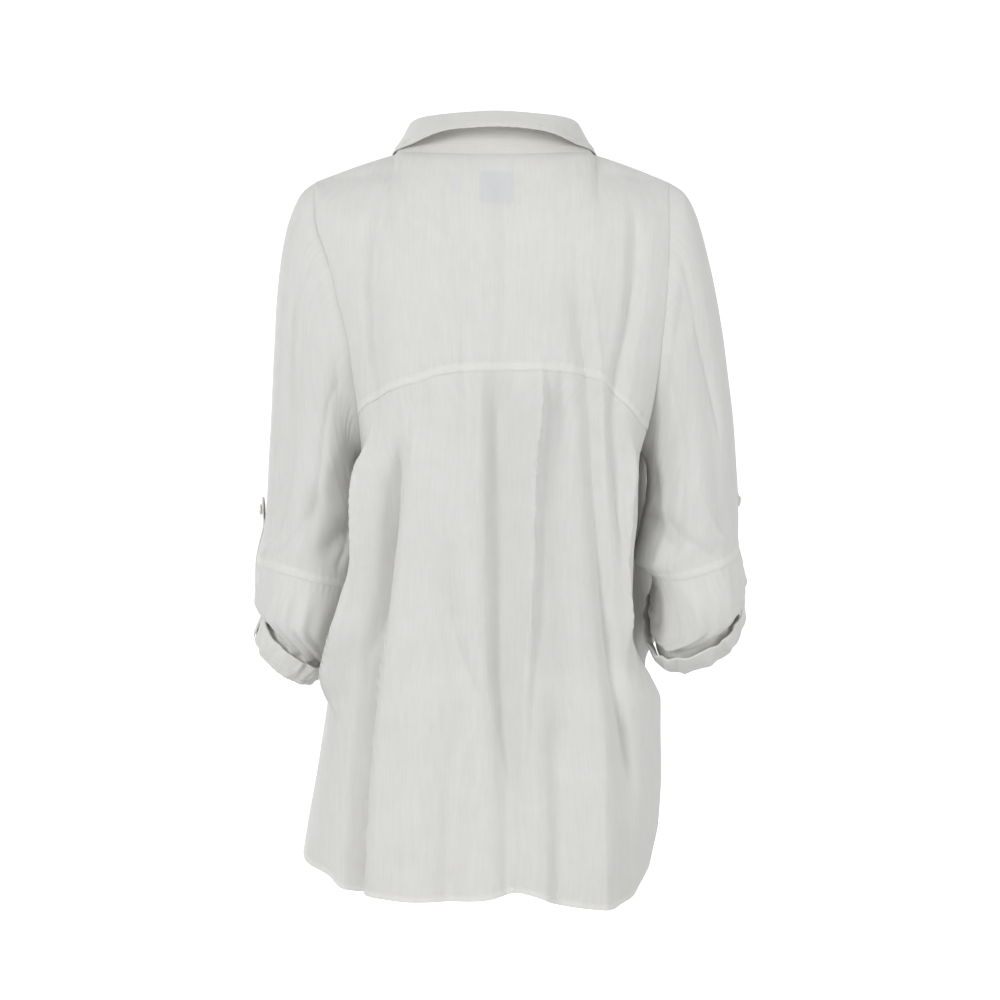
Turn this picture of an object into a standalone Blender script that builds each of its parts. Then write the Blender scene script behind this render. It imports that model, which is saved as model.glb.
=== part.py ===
"""A linen button-up shirt in its worn, hollow form, with rolled sleeves.

Metres, +Z up, the wearer faces -Y and the wearer's left is +X. The origin lies
between the shoulders, on the line of the shoulder seams.

Every panel of cloth is a grid of points on the garment's outer face. A closed
wall is made from it by going one cloth thickness in along the point normals,
which panels share where they meet, so that both end on the same cut.
"""
from collections import namedtuple
import math

import bpy
import numpy as np

# Cloth and clearances
CLOTH = 0.0016
BAND = 0.0020
SEAM_GAP = 0.0003
LAY_GAP = 0.0005

# Rows and columns of the panels
YOKE_ROWS = 10
UNDERARM_ROWS = 2
BODY_ROWS = 14
NECK_COLUMNS = 11
SHOULDER_COLUMNS = 8
FRONT_NECK_COLUMNS = 4
ARM_ROWS = YOKE_ROWS + UNDERARM_ROWS
RING_POINTS = 2 * ARM_ROWS

# Neckline and shoulders
NECK_SHARE = 0.55
NECK_HALF_WIDTH = 0.103
NECK_BACK = 0.070
NECK_BACK_Z = 0.012
NECK_SIDE_Z = 0.021
SHOULDER_TIP_Z = -0.007
FRONT_TOP = (0.064, -0.074, -0.022)
FRONT_NECK_BOW = 0.006
V_POINT_Z = -0.140
SHOULDER_ROUND = 0.075
NECK_ROUND = 0.110

# Armholes
UNDERARM_Z = {"left": -0.295, "right": -0.290}
ARMHOLE_BACK = 0.066
ARMHOLE_FRONT = -0.062
RIM_REACH = 8

# How a front hangs: its rows' drop to the side, the least share that reads the hems' heights and
# the least height over which a panel spreads from the neckline to its full width
FRONT_SEAM_RISE = 0.020
FRONT_LEAST_SHARE = 0.3
FRONT_SPREAD = 0.05
NECKLINE_LENGTH = 0.100

# How a fold fades at its ends, at the sides and below the upper edge
FOLD_FADE = 0.03
FOLD_BEYOND = 0.05
FOLD_TO_HEM_Z = -0.69
FOLD_SIDE_HOLD = 0.10
FOLD_TOP_ROWS = 2.0
FOLD_GIRTH = 0.8

# How round a sleeve's section is: 1 for an ellipse, less for one drawn out to its corners
SLEEVE_ROUNDNESS = 0.84

# Front bands and buttons
BAND_HALF = 0.0150
LAP_EASE = 0.030
LAP_FLAT = 0.002
V_DROP = 0.0020
V_REACH = 0.040
BUTTON_RADIUS = 0.0057
BUTTON_THICK = 0.0024
BUTTON_SIDES = 16
BUTTON_HEIGHTS = (-0.160, -0.245, -0.330, -0.415, -0.500, -0.585)
OPEN_BUTTON_Z = -0.075

# Sleeve ends
CUFF_HALF_HEIGHT = 0.0115
CUFF_THICK = 0.0046
CUFF_FLARE = 0.0045
CUFF_LEAD = 0.006
CUFF_LIP = 0.0012
LINING_SHORT = 0.003
TAB_HALF_WIDTH = 0.0105
TAB_THICK = 0.0018
TAB_ROW = 11
# The tab's tip: how far up its row, the share of its width and how far it lifts off the sleeve
TAB_TIP = ((0.85, 0.30, 0.0035), (0.62, 1.0, 0.0028), (0.30, 1.0, 0.0015))
TAB_COLUMN = {"left": 0, "right": -1}
TAB_TURN = (0.0022, -0.0012)

# One row for each level of the body: the widest half-width on each side, the angle through which
# a panel turns from the middle to its edge, how square its section is (less than 1 is squarer), how
# much of the armhole's depth the cloth beside it keeps, and the depth of the back and of the front
Level = namedtuple("Level", "z left right turn squareness flank back front")
LEVELS = (
    Level(0.030, 0.187, 0.182, 48, 1.00, 1.00, 0.096, -0.085),
    Level(-0.010, 0.185, 0.180, 48, 1.00, 1.00, 0.102, -0.097),
    Level(-0.045, 0.182, 0.179, 49, 1.00, 1.00, 0.107, -0.108),
    Level(-0.082, 0.171, 0.178, 51, 1.00, 1.00, 0.111, -0.118),
    Level(-0.135, 0.159, 0.175, 57, 0.96, 1.00, 0.114, -0.130),
    Level(-0.173, 0.149, 0.171, 63, 0.91, 0.98, 0.115, -0.137),
    Level(-0.217, 0.143, 0.166, 71, 0.90, 0.92, 0.116, -0.142),
    Level(-0.250, 0.139, 0.161, 79, 0.86, 0.82, 0.116, -0.144),
    Level(-0.295, 0.136, 0.150, 89, 0.82, 0.64, 0.116, -0.143),
    Level(-0.330, 0.135, 0.147, 98, 0.80, 0.49, 0.116, -0.141),
    Level(-0.360, 0.133, 0.1455, 105, 0.79, 0.36, 0.117, -0.139),
    Level(-0.394, 0.132, 0.142, 110, 0.79, 0.22, 0.117, -0.137),
    Level(-0.446, 0.142, 0.141, 109, 0.80, 0.07, 0.118, -0.134),
    Level(-0.479, 0.159, 0.143, 103, 0.80, 0.02, 0.119, -0.133),
    Level(-0.500, 0.1655, 0.150, 98, 0.82, 0.00, 0.119, -0.132),
    Level(-0.521, 0.169, 0.162, 95, 0.83, 0.00, 0.120, -0.132),
    Level(-0.545, 0.172, 0.172, 93, 0.84, 0.00, 0.121, -0.131),
    Level(-0.566, 0.175, 0.172, 92, 0.85, 0.00, 0.121, -0.131),
    Level(-0.615, 0.183, 0.173, 90, 0.86, 0.00, 0.123, -0.132),
    Level(-0.671, 0.193, 0.170, 90, 0.87, 0.00, 0.126, -0.134),
    Level(-0.712, 0.198, 0.161, 90, 0.88, 0.00, 0.128, -0.136),
    Level(-0.750, 0.198, 0.152, 90, 0.88, 0.00, 0.129, -0.137),
)

# The seam of the yoke and the hems, by the share of the way from the middle to the side
Edge = namedtuple("Edge", "share yoke hem front_hem")
EDGES = (
    Edge(-1.00, -0.268, -0.702, -0.702),
    Edge(-0.85, -0.262, -0.722, -0.708),
    Edge(-0.70, -0.244, -0.742, -0.714),
    Edge(-0.50, -0.216, -0.747, -0.717),
    Edge(-0.30, -0.210, -0.742, -0.718),
    Edge(-0.10, -0.209, -0.728, -0.718),
    Edge(0.05, -0.209, -0.735, -0.718),
    Edge(0.25, -0.212, -0.737, -0.718),
    Edge(0.45, -0.221, -0.733, -0.717),
    Edge(0.56, -0.226, -0.730, -0.716),
    Edge(0.64, -0.230, -0.717, -0.714),
    Edge(0.80, -0.240, -0.710, -0.708),
    Edge(1.00, -0.2525, -0.702, -0.702),
)

# A fold runs down a panel through (height, x) points; depth is below zero for a valley, and the
# widths are its reach towards the wearer's left and right
Fold = namedtuple("Fold", "name path to_left to_right depth")
BACK_FOLDS = (
    Fold("left overlap", ((-0.290, 0.094), (-0.388, 0.106), (-0.477, 0.117), (-0.549, 0.126),
                          (-0.638, 0.134), (-0.740, 0.139)), 0.015, 0.008, -0.012),
    Fold("left overlap lip", ((-0.290, 0.080), (-0.388, 0.089), (-0.477, 0.099), (-0.549, 0.108),
                              (-0.638, 0.115), (-0.740, 0.118)), 0.009, 0.024, 0.006),
    Fold("middle valley", ((-0.214, -0.002), (-0.437, -0.006), (-0.513, -0.007), (-0.566, -0.011),
                           (-0.638, -0.019), (-0.740, -0.021)), 0.015, 0.017, -0.018),
    Fold("middle ridge", ((-0.214, -0.047), (-0.259, -0.045), (-0.300, -0.041), (-0.430, -0.036),
                          (-0.549, -0.034), (-0.685, -0.034), (-0.740, -0.036)), 0.012, 0.022, 0.014),
    Fold("curved fold", ((-0.380, 0.050), (-0.448, 0.044), (-0.495, 0.036), (-0.535, 0.030),
                         (-0.640, 0.038), (-0.740, 0.044)), 0.012, 0.012, -0.007),
    Fold("lower left ridge", ((-0.530, 0.074), (-0.640, 0.080), (-0.740, 0.082)), 0.018, 0.018, 0.006),
    Fold("lower right valley", ((-0.560, -0.062), (-0.692, -0.066), (-0.740, -0.066)), 0.012, 0.014,
         -0.008),
    Fold("right crease", ((-0.130, -0.083), (-0.180, -0.089), (-0.216, -0.094),
                          (-0.323, -0.102), (-0.402, -0.109), (-0.477, -0.117), (-0.549, -0.126),
                          (-0.620, -0.136)), 0.013, 0.010, -0.008),
    Fold("outer right crease", ((-0.060, -0.145), (-0.151, -0.137), (-0.223, -0.124), (-0.259, -0.121),
                                (-0.330, -0.126), (-0.416, -0.133), (-0.500, -0.141)), 0.010, 0.013,
         -0.006),
    Fold("left side roll", ((-0.310, 0.122), (-0.394, 0.122), (-0.446, 0.132), (-0.500, 0.152), (-0.540, 0.160)),
         0.014, 0.018, 0.011),
    Fold("right ridge", ((-0.540, -0.100), (-0.620, -0.106), (-0.740, -0.108)), 0.020, 0.022, 0.009),
    Fold("left yoke fold", ((-0.040, 0.118), (-0.087, 0.125), (-0.205, 0.120), (-0.260, 0.116)), 0.014,
         0.016, -0.006),
    Fold("inner yoke fold", ((-0.030, 0.041), (-0.091, 0.039), (-0.169, 0.030), (-0.230, 0.018)), 0.012,
         0.014, -0.004),
    Fold("middle yoke fold", ((0.000, -0.006), (-0.087, -0.010), (-0.190, -0.010)), 0.010, 0.014, -0.003),
    Fold("gather", ((-0.214, 0.032), (-0.300, 0.032)), 0.007, 0.007, -0.003),
    Fold("far gather", ((-0.222, 0.070), (-0.290, 0.069)), 0.008, 0.008, -0.003),
    Fold("right gather", ((-0.214, -0.068), (-0.280, -0.067)), 0.007, 0.008, -0.003),
)
FRONT_FOLDS = (
    Fold("left bust fold", ((-0.180, 0.082), (-0.330, 0.078), (-0.520, 0.086), (-0.720, 0.096)), 0.020,
         0.014, -0.009),
    Fold("left inner ridge", ((-0.260, 0.052), (-0.480, 0.054), (-0.720, 0.060)), 0.016, 0.018, 0.006),
    Fold("left side fold", ((-0.300, 0.108), (-0.450, 0.116), (-0.720, 0.142)), 0.012, 0.016, -0.008),
    Fold("left shoulder fold", ((-0.030, 0.138), (-0.120, 0.124), (-0.240, 0.112)), 0.014, 0.012, -0.006),
    Fold("right bust fold", ((-0.160, -0.074), (-0.300, -0.082), (-0.540, -0.080), (-0.720, -0.088)), 0.014,
         0.022, -0.010),
    Fold("right inner ridge", ((-0.240, -0.046), (-0.460, -0.050), (-0.720, -0.052)), 0.016, 0.015, 0.005),
    Fold("right side fold", ((-0.290, -0.112), (-0.470, -0.118), (-0.720, -0.130)), 0.014, 0.014, -0.007),
    Fold("left side bulge", ((-0.265, 0.126), (-0.330, 0.124), (-0.400, 0.122), (-0.470, 0.136)), 0.026, 0.026,
         0.022),
    Fold("right side bulge", ((-0.265, -0.142), (-0.330, -0.138), (-0.400, -0.132), (-0.460, -0.134),
                              (-0.520, -0.144)), 0.026, 0.026, 0.024),
    Fold("right shoulder fold", ((-0.020, -0.132), (-0.110, -0.126), (-0.230, -0.118)), 0.012, 0.013,
         -0.006),
)

# A sleeve's rings below the armhole: the points on its outer and inner side, half its depth, where
# its middle lies front to back, and how far its back hangs below them
Ring = namedtuple("Ring", "outer_x outer_z inner_x inner_z depth middle drop")
UPPER_RINGS = {
    "left": (
        Ring(0.1990, -0.018, 0.1412, -0.298, 0.066, 0.001, 0.0),
        Ring(0.2080, -0.035, 0.1435, -0.302, 0.067, 0.000, 0.0),
        Ring(0.2155, -0.058, 0.1450, -0.308, 0.068, -0.001, 0.0),
        Ring(0.2212, -0.090, 0.1448, -0.316, 0.069, -0.002, 0.0),
        Ring(0.2252, -0.130, 0.1425, -0.326, 0.070, -0.003, 0.0),
        Ring(0.2275, -0.170, 0.1410, -0.337, 0.071, -0.004, 0.0),
        Ring(0.2295, -0.210, 0.1385, -0.348, 0.072, -0.005, 0.0),
        Ring(0.2315, -0.250, 0.1365, -0.360, 0.073, -0.006, 0.0),
        Ring(0.2340, -0.290, 0.1360, -0.371, 0.073, -0.007, 0.0),
        Ring(0.2360, -0.330, 0.1350, -0.383, 0.074, -0.008, 0.0),
        Ring(0.2390, -0.364, 0.1345, -0.396, 0.075, -0.009, 0.001),
        Ring(0.2440, -0.386, 0.1370, -0.412, 0.076, -0.010, 0.003),
        Ring(0.2465, -0.400, 0.1410, -0.428, 0.076, -0.010, 0.004),
    ),
    "right": (
        Ring(-0.1975, -0.019, -0.1555, -0.294, 0.066, 0.001, 0.0),
        Ring(-0.2075, -0.037, -0.1575, -0.299, 0.067, 0.000, 0.0),
        Ring(-0.2150, -0.060, -0.1590, -0.305, 0.068, -0.001, 0.0),
        Ring(-0.2225, -0.090, -0.1595, -0.313, 0.070, -0.002, 0.0),
        Ring(-0.2305, -0.128, -0.1595, -0.321, 0.071, -0.004, 0.0),
        Ring(-0.2375, -0.170, -0.1590, -0.330, 0.072, -0.006, 0.0),
        Ring(-0.2430, -0.212, -0.1580, -0.339, 0.073, -0.007, 0.001),
        Ring(-0.2483, -0.255, -0.1560, -0.348, 0.074, -0.008, 0.002),
        Ring(-0.2510, -0.292, -0.1540, -0.358, 0.075, -0.009, 0.004),
        Ring(-0.2535, -0.328, -0.1520, -0.371, 0.075, -0.010, 0.006),
        Ring(-0.2542, -0.352, -0.1485, -0.385, 0.076, -0.011, 0.009),
        Ring(-0.2540, -0.370, -0.1455, -0.398, 0.076, -0.012, 0.012),
        Ring(-0.2542, -0.384, -0.1610, -0.408, 0.075, -0.012, 0.019),
    ),
}
LOWER_RINGS = {
    "left": (
        Ring(0.2470, -0.416, 0.1450, -0.444, 0.079, -0.010, 0.007),
        Ring(0.2470, -0.430, 0.1520, -0.458, 0.080, -0.010, 0.012),
        Ring(0.2460, -0.443, 0.1590, -0.472, 0.078, -0.010, 0.016),
    ),
    "right": (
        Ring(-0.2580, -0.400, -0.1660, -0.420, 0.078, -0.013, 0.028),
        Ring(-0.2605, -0.412, -0.1665, -0.432, 0.077, -0.014, 0.036),
        Ring(-0.2615, -0.420, -0.1640, -0.446, 0.070, -0.014, 0.044),
    ),
}
CUFF_RINGS = {
    "left": Ring(0.2445, -0.465, 0.1755, -0.511, 0.065, -0.010, 0.020),
    "right": Ring(-0.2615, -0.442, -0.1590, -0.478, 0.053, -0.014, 0.045),
}

# A sleeve's folds run through (share of the rings, share of the way round) points, from the outer
# side over the back; depth is below zero for a valley
SleeveFold = namedtuple("SleeveFold", "name path width depth")
SLEEVE_FOLDS = (
    SleeveFold("back hollow", ((0.10, 0.20), (0.45, 0.17), (0.85, 0.14)), 0.055, -0.005),
    SleeveFold("back ridge", ((0.20, 0.30), (0.55, 0.27), (0.90, 0.23)), 0.050, 0.004),
    SleeveFold("front hollow", ((0.12, 0.80), (0.50, 0.82), (0.88, 0.86)), 0.055, -0.005),
    SleeveFold("elbow crease", ((0.66, 0.42), (0.86, 0.30)), 0.040, -0.006),
    SleeveFold("front elbow crease", ((0.62, 0.58), (0.84, 0.70)), 0.040, -0.006),
)

# The collar by the share of its half-length from the middle of the back: the top of the stand and
# the lower edge of the fall
Collar = namedtuple("Collar", "share top_x top_y top_z edge_x edge_y edge_z")
COLLAR = (
    Collar(0.00, 0.000, 0.058, 0.052, 0.000, 0.089, 0.030),
    Collar(0.25, 0.048, 0.046, 0.051, 0.060, 0.071, 0.0275),
    Collar(0.45, 0.077, 0.025, 0.050, 0.089, 0.040, 0.0245),
    Collar(0.60, 0.085, 0.000, 0.047, 0.1030, 0.003, 0.0235),
    Collar(0.75, 0.081, -0.026, 0.036, 0.109, -0.036, 0.012),
    Collar(0.90, 0.067, -0.052, 0.018, 0.107, -0.070, -0.020),
    Collar(1.00, 0.057, -0.066, 0.007, 0.098, -0.094, -0.053),
)
# The fall's section: the share of the way from the stand's top to the edge, and the rise over it
FALL_SECTION = ((0.0, 0.0), (0.03, 0.0036), (0.12, 0.0062), (0.24, 0.0058), (0.42, 0.0042), (0.70, 0.0020),
                (1.0, 0.0))

# The labels: the columns from the middle of the back that they span, and the rows they lie on
LABEL_THICK = 0.0010
Label = namedtuple("Label", "name first last rows")
LABELS = (
    Label("neck_label", -2, 1, (1.0, 1.5, 2.0, 2.5)),
    Label("size_label", 3, 4, (1.0, 1.5, 2.0)),
)

# The rolled cuff's rounded section: how far along the sleeve and how far in, as shares of its half
# height and its thickness, and whether it is at the lip past the band's edge
CUFF_SECTION = ((-1.0, -0.75, False), (-1.0, -0.50, True), (-1.0, -0.20, False), (-0.3, 0.0, False),
                (0.6, 0.0, False), (1.0, -0.20, False), (1.0, -0.50, True), (1.0, -0.80, False),
                (0.0, -1.0, False))
# A button's profile: the share of its thickness and of its radius
BUTTON_PROFILE = ((0.0, 0.86), (0.25, 1.0), (0.75, 1.0), (1.0, 0.88))


def smooth(stations, values, at):
    """Read a smooth curve through the values that never passes beyond them."""
    x = np.asarray(stations, float)
    y = np.asarray(values, float)
    if x[0] > x[-1]:
        x, y = x[::-1], y[::-1]
    step = np.diff(x)
    slope = np.diff(y) / step
    tangent = np.zeros_like(y)
    for i in range(1, len(x) - 1):
        if slope[i - 1] * slope[i] > 0.0:
            before = 2.0 * step[i] + step[i - 1]
            after = step[i] + 2.0 * step[i - 1]
            tangent[i] = (before + after) / (before / slope[i - 1] + after / slope[i])
    tangent[0], tangent[-1] = slope[0], slope[-1]
    at = min(max(at, x[0]), x[-1])
    i = min(int(np.searchsorted(x, at, side="right")) - 1, len(step) - 1)
    t = (at - x[i]) / step[i]
    return ((2 * t ** 3 - 3 * t ** 2 + 1) * y[i] + (t ** 3 - 2 * t ** 2 + t) * step[i] * tangent[i]
            + (3 * t ** 2 - 2 * t ** 3) * y[i + 1] + (t ** 3 - t ** 2) * step[i] * tangent[i + 1])


def column(rows, name):
    """One named column of a table."""
    return [getattr(row, name) for row in rows]


def ease(share):
    """Go from 0 to 1 with no jerk at either end."""
    share = min(max(share, 0.0), 1.0)
    return share * share * (3.0 - 2.0 * share)


def unit(vectors):
    """Vectors of length one."""
    length = np.linalg.norm(vectors, axis=-1, keepdims=True)
    return vectors / np.maximum(length, 1e-12)


def level(name, z):
    """A value of the body at a height."""
    return smooth(column(LEVELS, "z"), column(LEVELS, name), z)


def edge(name, share):
    """The height of a seam or hem at a share of the way to the side."""
    return smooth(column(EDGES, "share"), column(EDGES, name), share)


def side_of(share):
    """The wearer's side that a share of the width lies on."""
    return "left" if share >= 0.0 else "right"


def armhole_y(side, z, deepest):
    """How far front or back the armhole seam stands at a height, on half an ellipse."""
    way = (SHOULDER_TIP_Z - z) / (SHOULDER_TIP_Z - UNDERARM_Z[side])
    way = min(max(way, 0.0), 1.0)
    return deepest * math.sqrt(max(0.0, 1.0 - (2.0 * way - 1.0) ** 2))


def body_point(share, z, face):
    """A point of the body's plain form, by its share of the way from the middle to the side."""
    side = side_of(share)
    turn = math.radians(level("turn", z))
    width = level(side, z)
    deepest = level(face, z)
    deepest_rim = ARMHOLE_BACK if face == "back" else ARMHOLE_FRONT
    rim = armhole_y(side, z, deepest_rim)
    if z < 0.5 * (SHOULDER_TIP_Z + UNDERARM_Z[side]):
        flank = deepest_rim * level("flank", z)
        rim = flank + (rim - flank) * abs(share) ** RIM_REACH
    x = width * math.sin(turn * share) / math.sin(min(turn, math.pi / 2))
    bow = max(0.0, (math.cos(turn * share) - math.cos(turn)) / (1.0 - math.cos(turn)))
    y = rim + (deepest - rim) * bow ** level("squareness", z)
    return np.array((x, y, z))


def share_at(x, z):
    """The share of the way to the side where the body's plain form has a given x."""
    turn = math.radians(level("turn", z))
    width = level(side_of(x), z)
    sine = min(max(x * math.sin(min(turn, math.pi / 2)) / width, -0.999), 0.999)
    return math.asin(sine) / turn


def shoulder_point(share):
    """A point of the shoulder seam, from the side of the neck to the tip of the shoulder."""
    side = side_of(share)
    way = (abs(share) - NECK_SHARE) / (1.0 - NECK_SHARE)
    tip = level(side, SHOULDER_TIP_Z)
    x = NECK_HALF_WIDTH + (tip - NECK_HALF_WIDTH) * way
    z = NECK_SIDE_Z + (SHOULDER_TIP_Z - NECK_SIDE_Z) * way ** 1.15
    return np.array((math.copysign(x, share), 0.0, z))


def back_top(share):
    """The upper edge of the yoke: the back of the neckline and the shoulder seams."""
    if abs(share) > NECK_SHARE:
        return shoulder_point(share)
    angle = 0.5 * math.pi * share / NECK_SHARE
    rise = NECK_SIDE_Z - NECK_BACK_Z
    return np.array((NECK_HALF_WIDTH * math.sin(angle), NECK_BACK * math.cos(angle),
                     NECK_BACK_Z + rise * math.sin(angle) ** 2))


def front_neck(way, sign):
    """The front of the neckline, from its open end to the side of the neck."""
    end = np.array(FRONT_TOP)
    side = np.array((NECK_HALF_WIDTH, 0.0, NECK_SIDE_Z))
    point = end + (side - end) * way
    bow = FRONT_NECK_BOW * math.sin(math.pi * way)
    point += bow * np.array((0.4, -0.6, -0.3))
    point[0] *= sign
    return point


def round_over(below, reach, sharpness):
    """How much of its depth a panel has reached at a distance below its upper edge."""
    if reach <= 1e-6 or below >= reach:
        return 1.0
    way = below / reach
    return (1.0 - (1.0 - way) ** 2) ** sharpness


def shoulder_reach(share):
    """How far below the upper edge a panel reaches its full depth, and how round it starts."""
    size = abs(share)
    if size >= NECK_SHARE:
        way = (size - NECK_SHARE) / (1.0 - NECK_SHARE)
        reach = NECK_ROUND + (SHOULDER_ROUND - NECK_ROUND) * ease(2.5 * way)
        return reach * (1.0 - way ** 5), 0.60 - 0.10 * way
    return NECK_ROUND, 0.85 - 0.25 * (size / NECK_SHARE) ** 2


def back_shares():
    """The columns of the back, from the wearer's right to the left."""
    neck = [NECK_SHARE * i / NECK_COLUMNS for i in range(NECK_COLUMNS + 1)]
    shoulder = [NECK_SHARE + (1.0 - NECK_SHARE) * i / SHOULDER_COLUMNS for i in range(1, SHOULDER_COLUMNS + 1)]
    half = neck + shoulder
    return [-share for share in reversed(half[1:])] + half


def row_height(row, share, top_z, hem_name, seam_z):
    """The height of a row: down to the seam or its level, on to the underarm, then to the hem."""
    under = UNDERARM_Z[side_of(share)]
    if row <= YOKE_ROWS:
        return top_z + (seam_z - top_z) * row / YOKE_ROWS
    if row <= ARM_ROWS:
        return seam_z + (under - seam_z) * (row - YOKE_ROWS) / UNDERARM_ROWS
    return under + (edge(hem_name, share) - under) * (row - ARM_ROWS) / BODY_ROWS


def plain_back():
    """The back of the body, yoke and panel, before its folds, and the shares of its points."""
    grid = []
    shares = np.array([back_shares()] * (ARM_ROWS + BODY_ROWS + 1))
    for row in range(ARM_ROWS + BODY_ROWS + 1):
        line = []
        for share in back_shares():
            top = back_top(share)
            z = row_height(row, share, top[2], "hem", edge("yoke", share))
            full = body_point(share, z, "back")
            reach, sharpness = shoulder_reach(share)
            deep = round_over(top[2] - z, reach, sharpness)
            across = ease((top[2] - z) / NECK_ROUND) if abs(share) < 1.0 else 1.0
            line.append((top[0] + (full[0] - top[0]) * across, top[1] + (full[1] - top[1]) * deep, z))
        grid.append(line)
    return np.array(grid), shares


def front_columns():
    """The columns of a front as (kind, way): the band, the neckline and the shoulder."""
    band = [("band", way) for way in (0.0, 0.5)]
    neck = [("neck", i / FRONT_NECK_COLUMNS) for i in range(FRONT_NECK_COLUMNS + 1)]
    shoulder = [("shoulder", i / SHOULDER_COLUMNS) for i in range(1, SHOULDER_COLUMNS + 1)]
    return band + neck + shoulder


def front_column(kind, way, sign, z):
    """A front column's upper point and its share of the way to the side at a height."""
    band_share = share_at(sign * BAND_HALF, z)
    band_way = 2.0 * BAND_HALF / NECKLINE_LENGTH
    if kind == "band":
        return front_neck(band_way * way, sign), -band_share + 2.0 * band_share * way
    if kind == "neck":
        return (front_neck(band_way + (1.0 - band_way) * way, sign),
                band_share + (sign * NECK_SHARE - band_share) * way)
    share = sign * (NECK_SHARE + (1.0 - NECK_SHARE) * way)
    return shoulder_point(share), share


def front_reach(kind, way):
    """How a front column turns from its upper edge to the chest."""
    if kind == "band":
        return FRONT_TOP[2] - V_POINT_Z, 0.9
    if kind == "neck":
        reach = FRONT_TOP[2] - V_POINT_Z
        return reach + (NECK_ROUND - reach) * way, 0.9 - 0.3 * way
    reach = NECK_ROUND + (SHOULDER_ROUND - NECK_ROUND) * ease(2.5 * way)
    return reach * (1.0 - way ** 5), 0.60 - 0.10 * way


def plain_front(sign):
    """One front with its band, before its folds, from its free edge to the side, and its shares."""
    grid = []
    shares = []
    side_share = float(sign)
    for row in range(ARM_ROWS + BODY_ROWS + 1):
        line = []
        places = []
        for kind, way in front_columns():
            top, share = front_column(kind, way, sign, V_POINT_Z)
            seam_z = edge("yoke", side_share) + FRONT_SEAM_RISE * (1.0 - abs(share))
            side = share if abs(share) > FRONT_LEAST_SHARE else math.copysign(FRONT_LEAST_SHARE, sign)
            z = row_height(row, side, top[2], "front_hem", seam_z)
            share = front_column(kind, way, sign, z)[1]
            full = body_point(share, z, "front")
            reach, sharpness = front_reach(kind, way)
            deep = round_over(top[2] - z, reach, sharpness)
            across = 1.0 if abs(share) == 1.0 else min(1.0, (top[2] - z) / max(reach, FRONT_SPREAD))
            line.append((top[0] + (full[0] - top[0]) * across, top[1] + (full[1] - top[1]) * deep, z))
            places.append(share)
        grid.append(line)
        shares.append(places)
    return np.array(grid), np.array(shares)


def grid_normals(grid, closed=False):
    """A normal for each point of a grid, turned by the order of its rows and columns."""
    if closed:
        around = np.roll(grid, -1, axis=1) - np.roll(grid, 1, axis=1)
    else:
        around = np.gradient(grid, axis=1)
    down = np.gradient(grid, axis=0)
    return unit(np.cross(around, down))


def fold_depth(folds, x_share, z, girth):
    """How far the folds push a point out, by its share of the way to the side."""
    push = 0.0
    for fold in folds:
        heights = [point[0] for point in fold.path]
        if z > heights[0] + FOLD_BEYOND or z < heights[-1] - FOLD_BEYOND:
            continue
        x = smooth(heights, [point[1] for point in fold.path], z)
        away = (x_share - share_at(x, z)) * girth
        reach = fold.to_left if away > 0.0 else fold.to_right
        start = ease((heights[0] + FOLD_FADE - z) / (2.0 * FOLD_FADE))
        end = ease((z - heights[-1] + FOLD_FADE) / (2.0 * FOLD_FADE)) if heights[-1] > FOLD_TO_HEM_Z else 1.0
        push += fold.depth * math.exp(-(away / reach) ** 2) * start * end
    return push


def fold_panel(panel, folds, outward):
    """Press the folds into a panel, leaving its armhole and side edges where they are."""
    grid, shares = panel
    normals = grid_normals(grid) * outward
    folded = grid.copy()
    for row in range(grid.shape[0]):
        for col in range(grid.shape[1]):
            share, z = shares[row, col], grid[row, col, 2]
            girth = FOLD_GIRTH * (level(side_of(share), z) + level("back", z))
            hold = ease((1.0 - abs(share)) / FOLD_SIDE_HOLD) * ease(row / FOLD_TOP_ROWS)
            folded[row, col] += normals[row, col] * fold_depth(folds, share, z, girth) * hold
    return folded


def lap_under(grid):
    """Take the left front's band and the cloth beside it in, so that the right one lies over it."""
    normals = grid_normals(grid)
    if normals[-1, 0, 1] > 0.0:
        normals = -normals
    lapped = grid.copy()
    for row in range(grid.shape[0]):
        for col in range(grid.shape[1]):
            x, _, z = grid[row, col]
            drop = BAND + 2.0 * SEAM_GAP + V_DROP * math.exp(-((z - V_POINT_Z) / V_REACH) ** 2)
            under = ease((BAND_HALF + LAP_EASE - x) / (LAP_EASE - LAP_FLAT))
            lapped[row, col] -= normals[row, col] * drop * under
    return lapped


def ring_points(ring, angles, grow=0.0, along=0.0):
    """A sleeve ring's points at angles from its outer side over the back, grown or moved along."""
    outer = np.array((ring.outer_x, ring.middle, ring.outer_z))
    inner = np.array((ring.inner_x, ring.middle, ring.inner_z))
    centre = 0.5 * (outer + inner)
    across = 0.5 * (outer - inner)
    back = np.array((0.0, ring.depth, -ring.drop))
    down = np.cross(across, back)
    down *= -np.sign(down[2]) / np.linalg.norm(down)
    across += unit(across) * grow
    back += unit(back) * grow
    return np.array([centre + across * flattened(math.cos(a)) + back * flattened(math.sin(a)) + down * along
                     for a in angles])


def flattened(part):
    """A sine or cosine drawn outwards, for a section between an ellipse and a box."""
    return math.copysign(abs(part) ** SLEEVE_ROUNDNESS, part)


def armhole_loop(back_edge, front_edge):
    """The armhole's points, from the shoulder tip over the back and under the arm to the front."""
    return np.concatenate((back_edge[:ARM_ROWS + 1], front_edge[1:ARM_ROWS][::-1]))


def loop_angles(loop, side):
    """Where each armhole point lies round the sleeve, from its height."""
    way = (SHOULDER_TIP_Z - loop[:, 2]) / (SHOULDER_TIP_Z - UNDERARM_Z[side])
    angles = np.arccos(np.clip(1.0 - 2.0 * way, -1.0, 1.0))
    angles[ARM_ROWS + 1:] = 2.0 * math.pi - angles[ARM_ROWS + 1:]
    return angles


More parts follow.
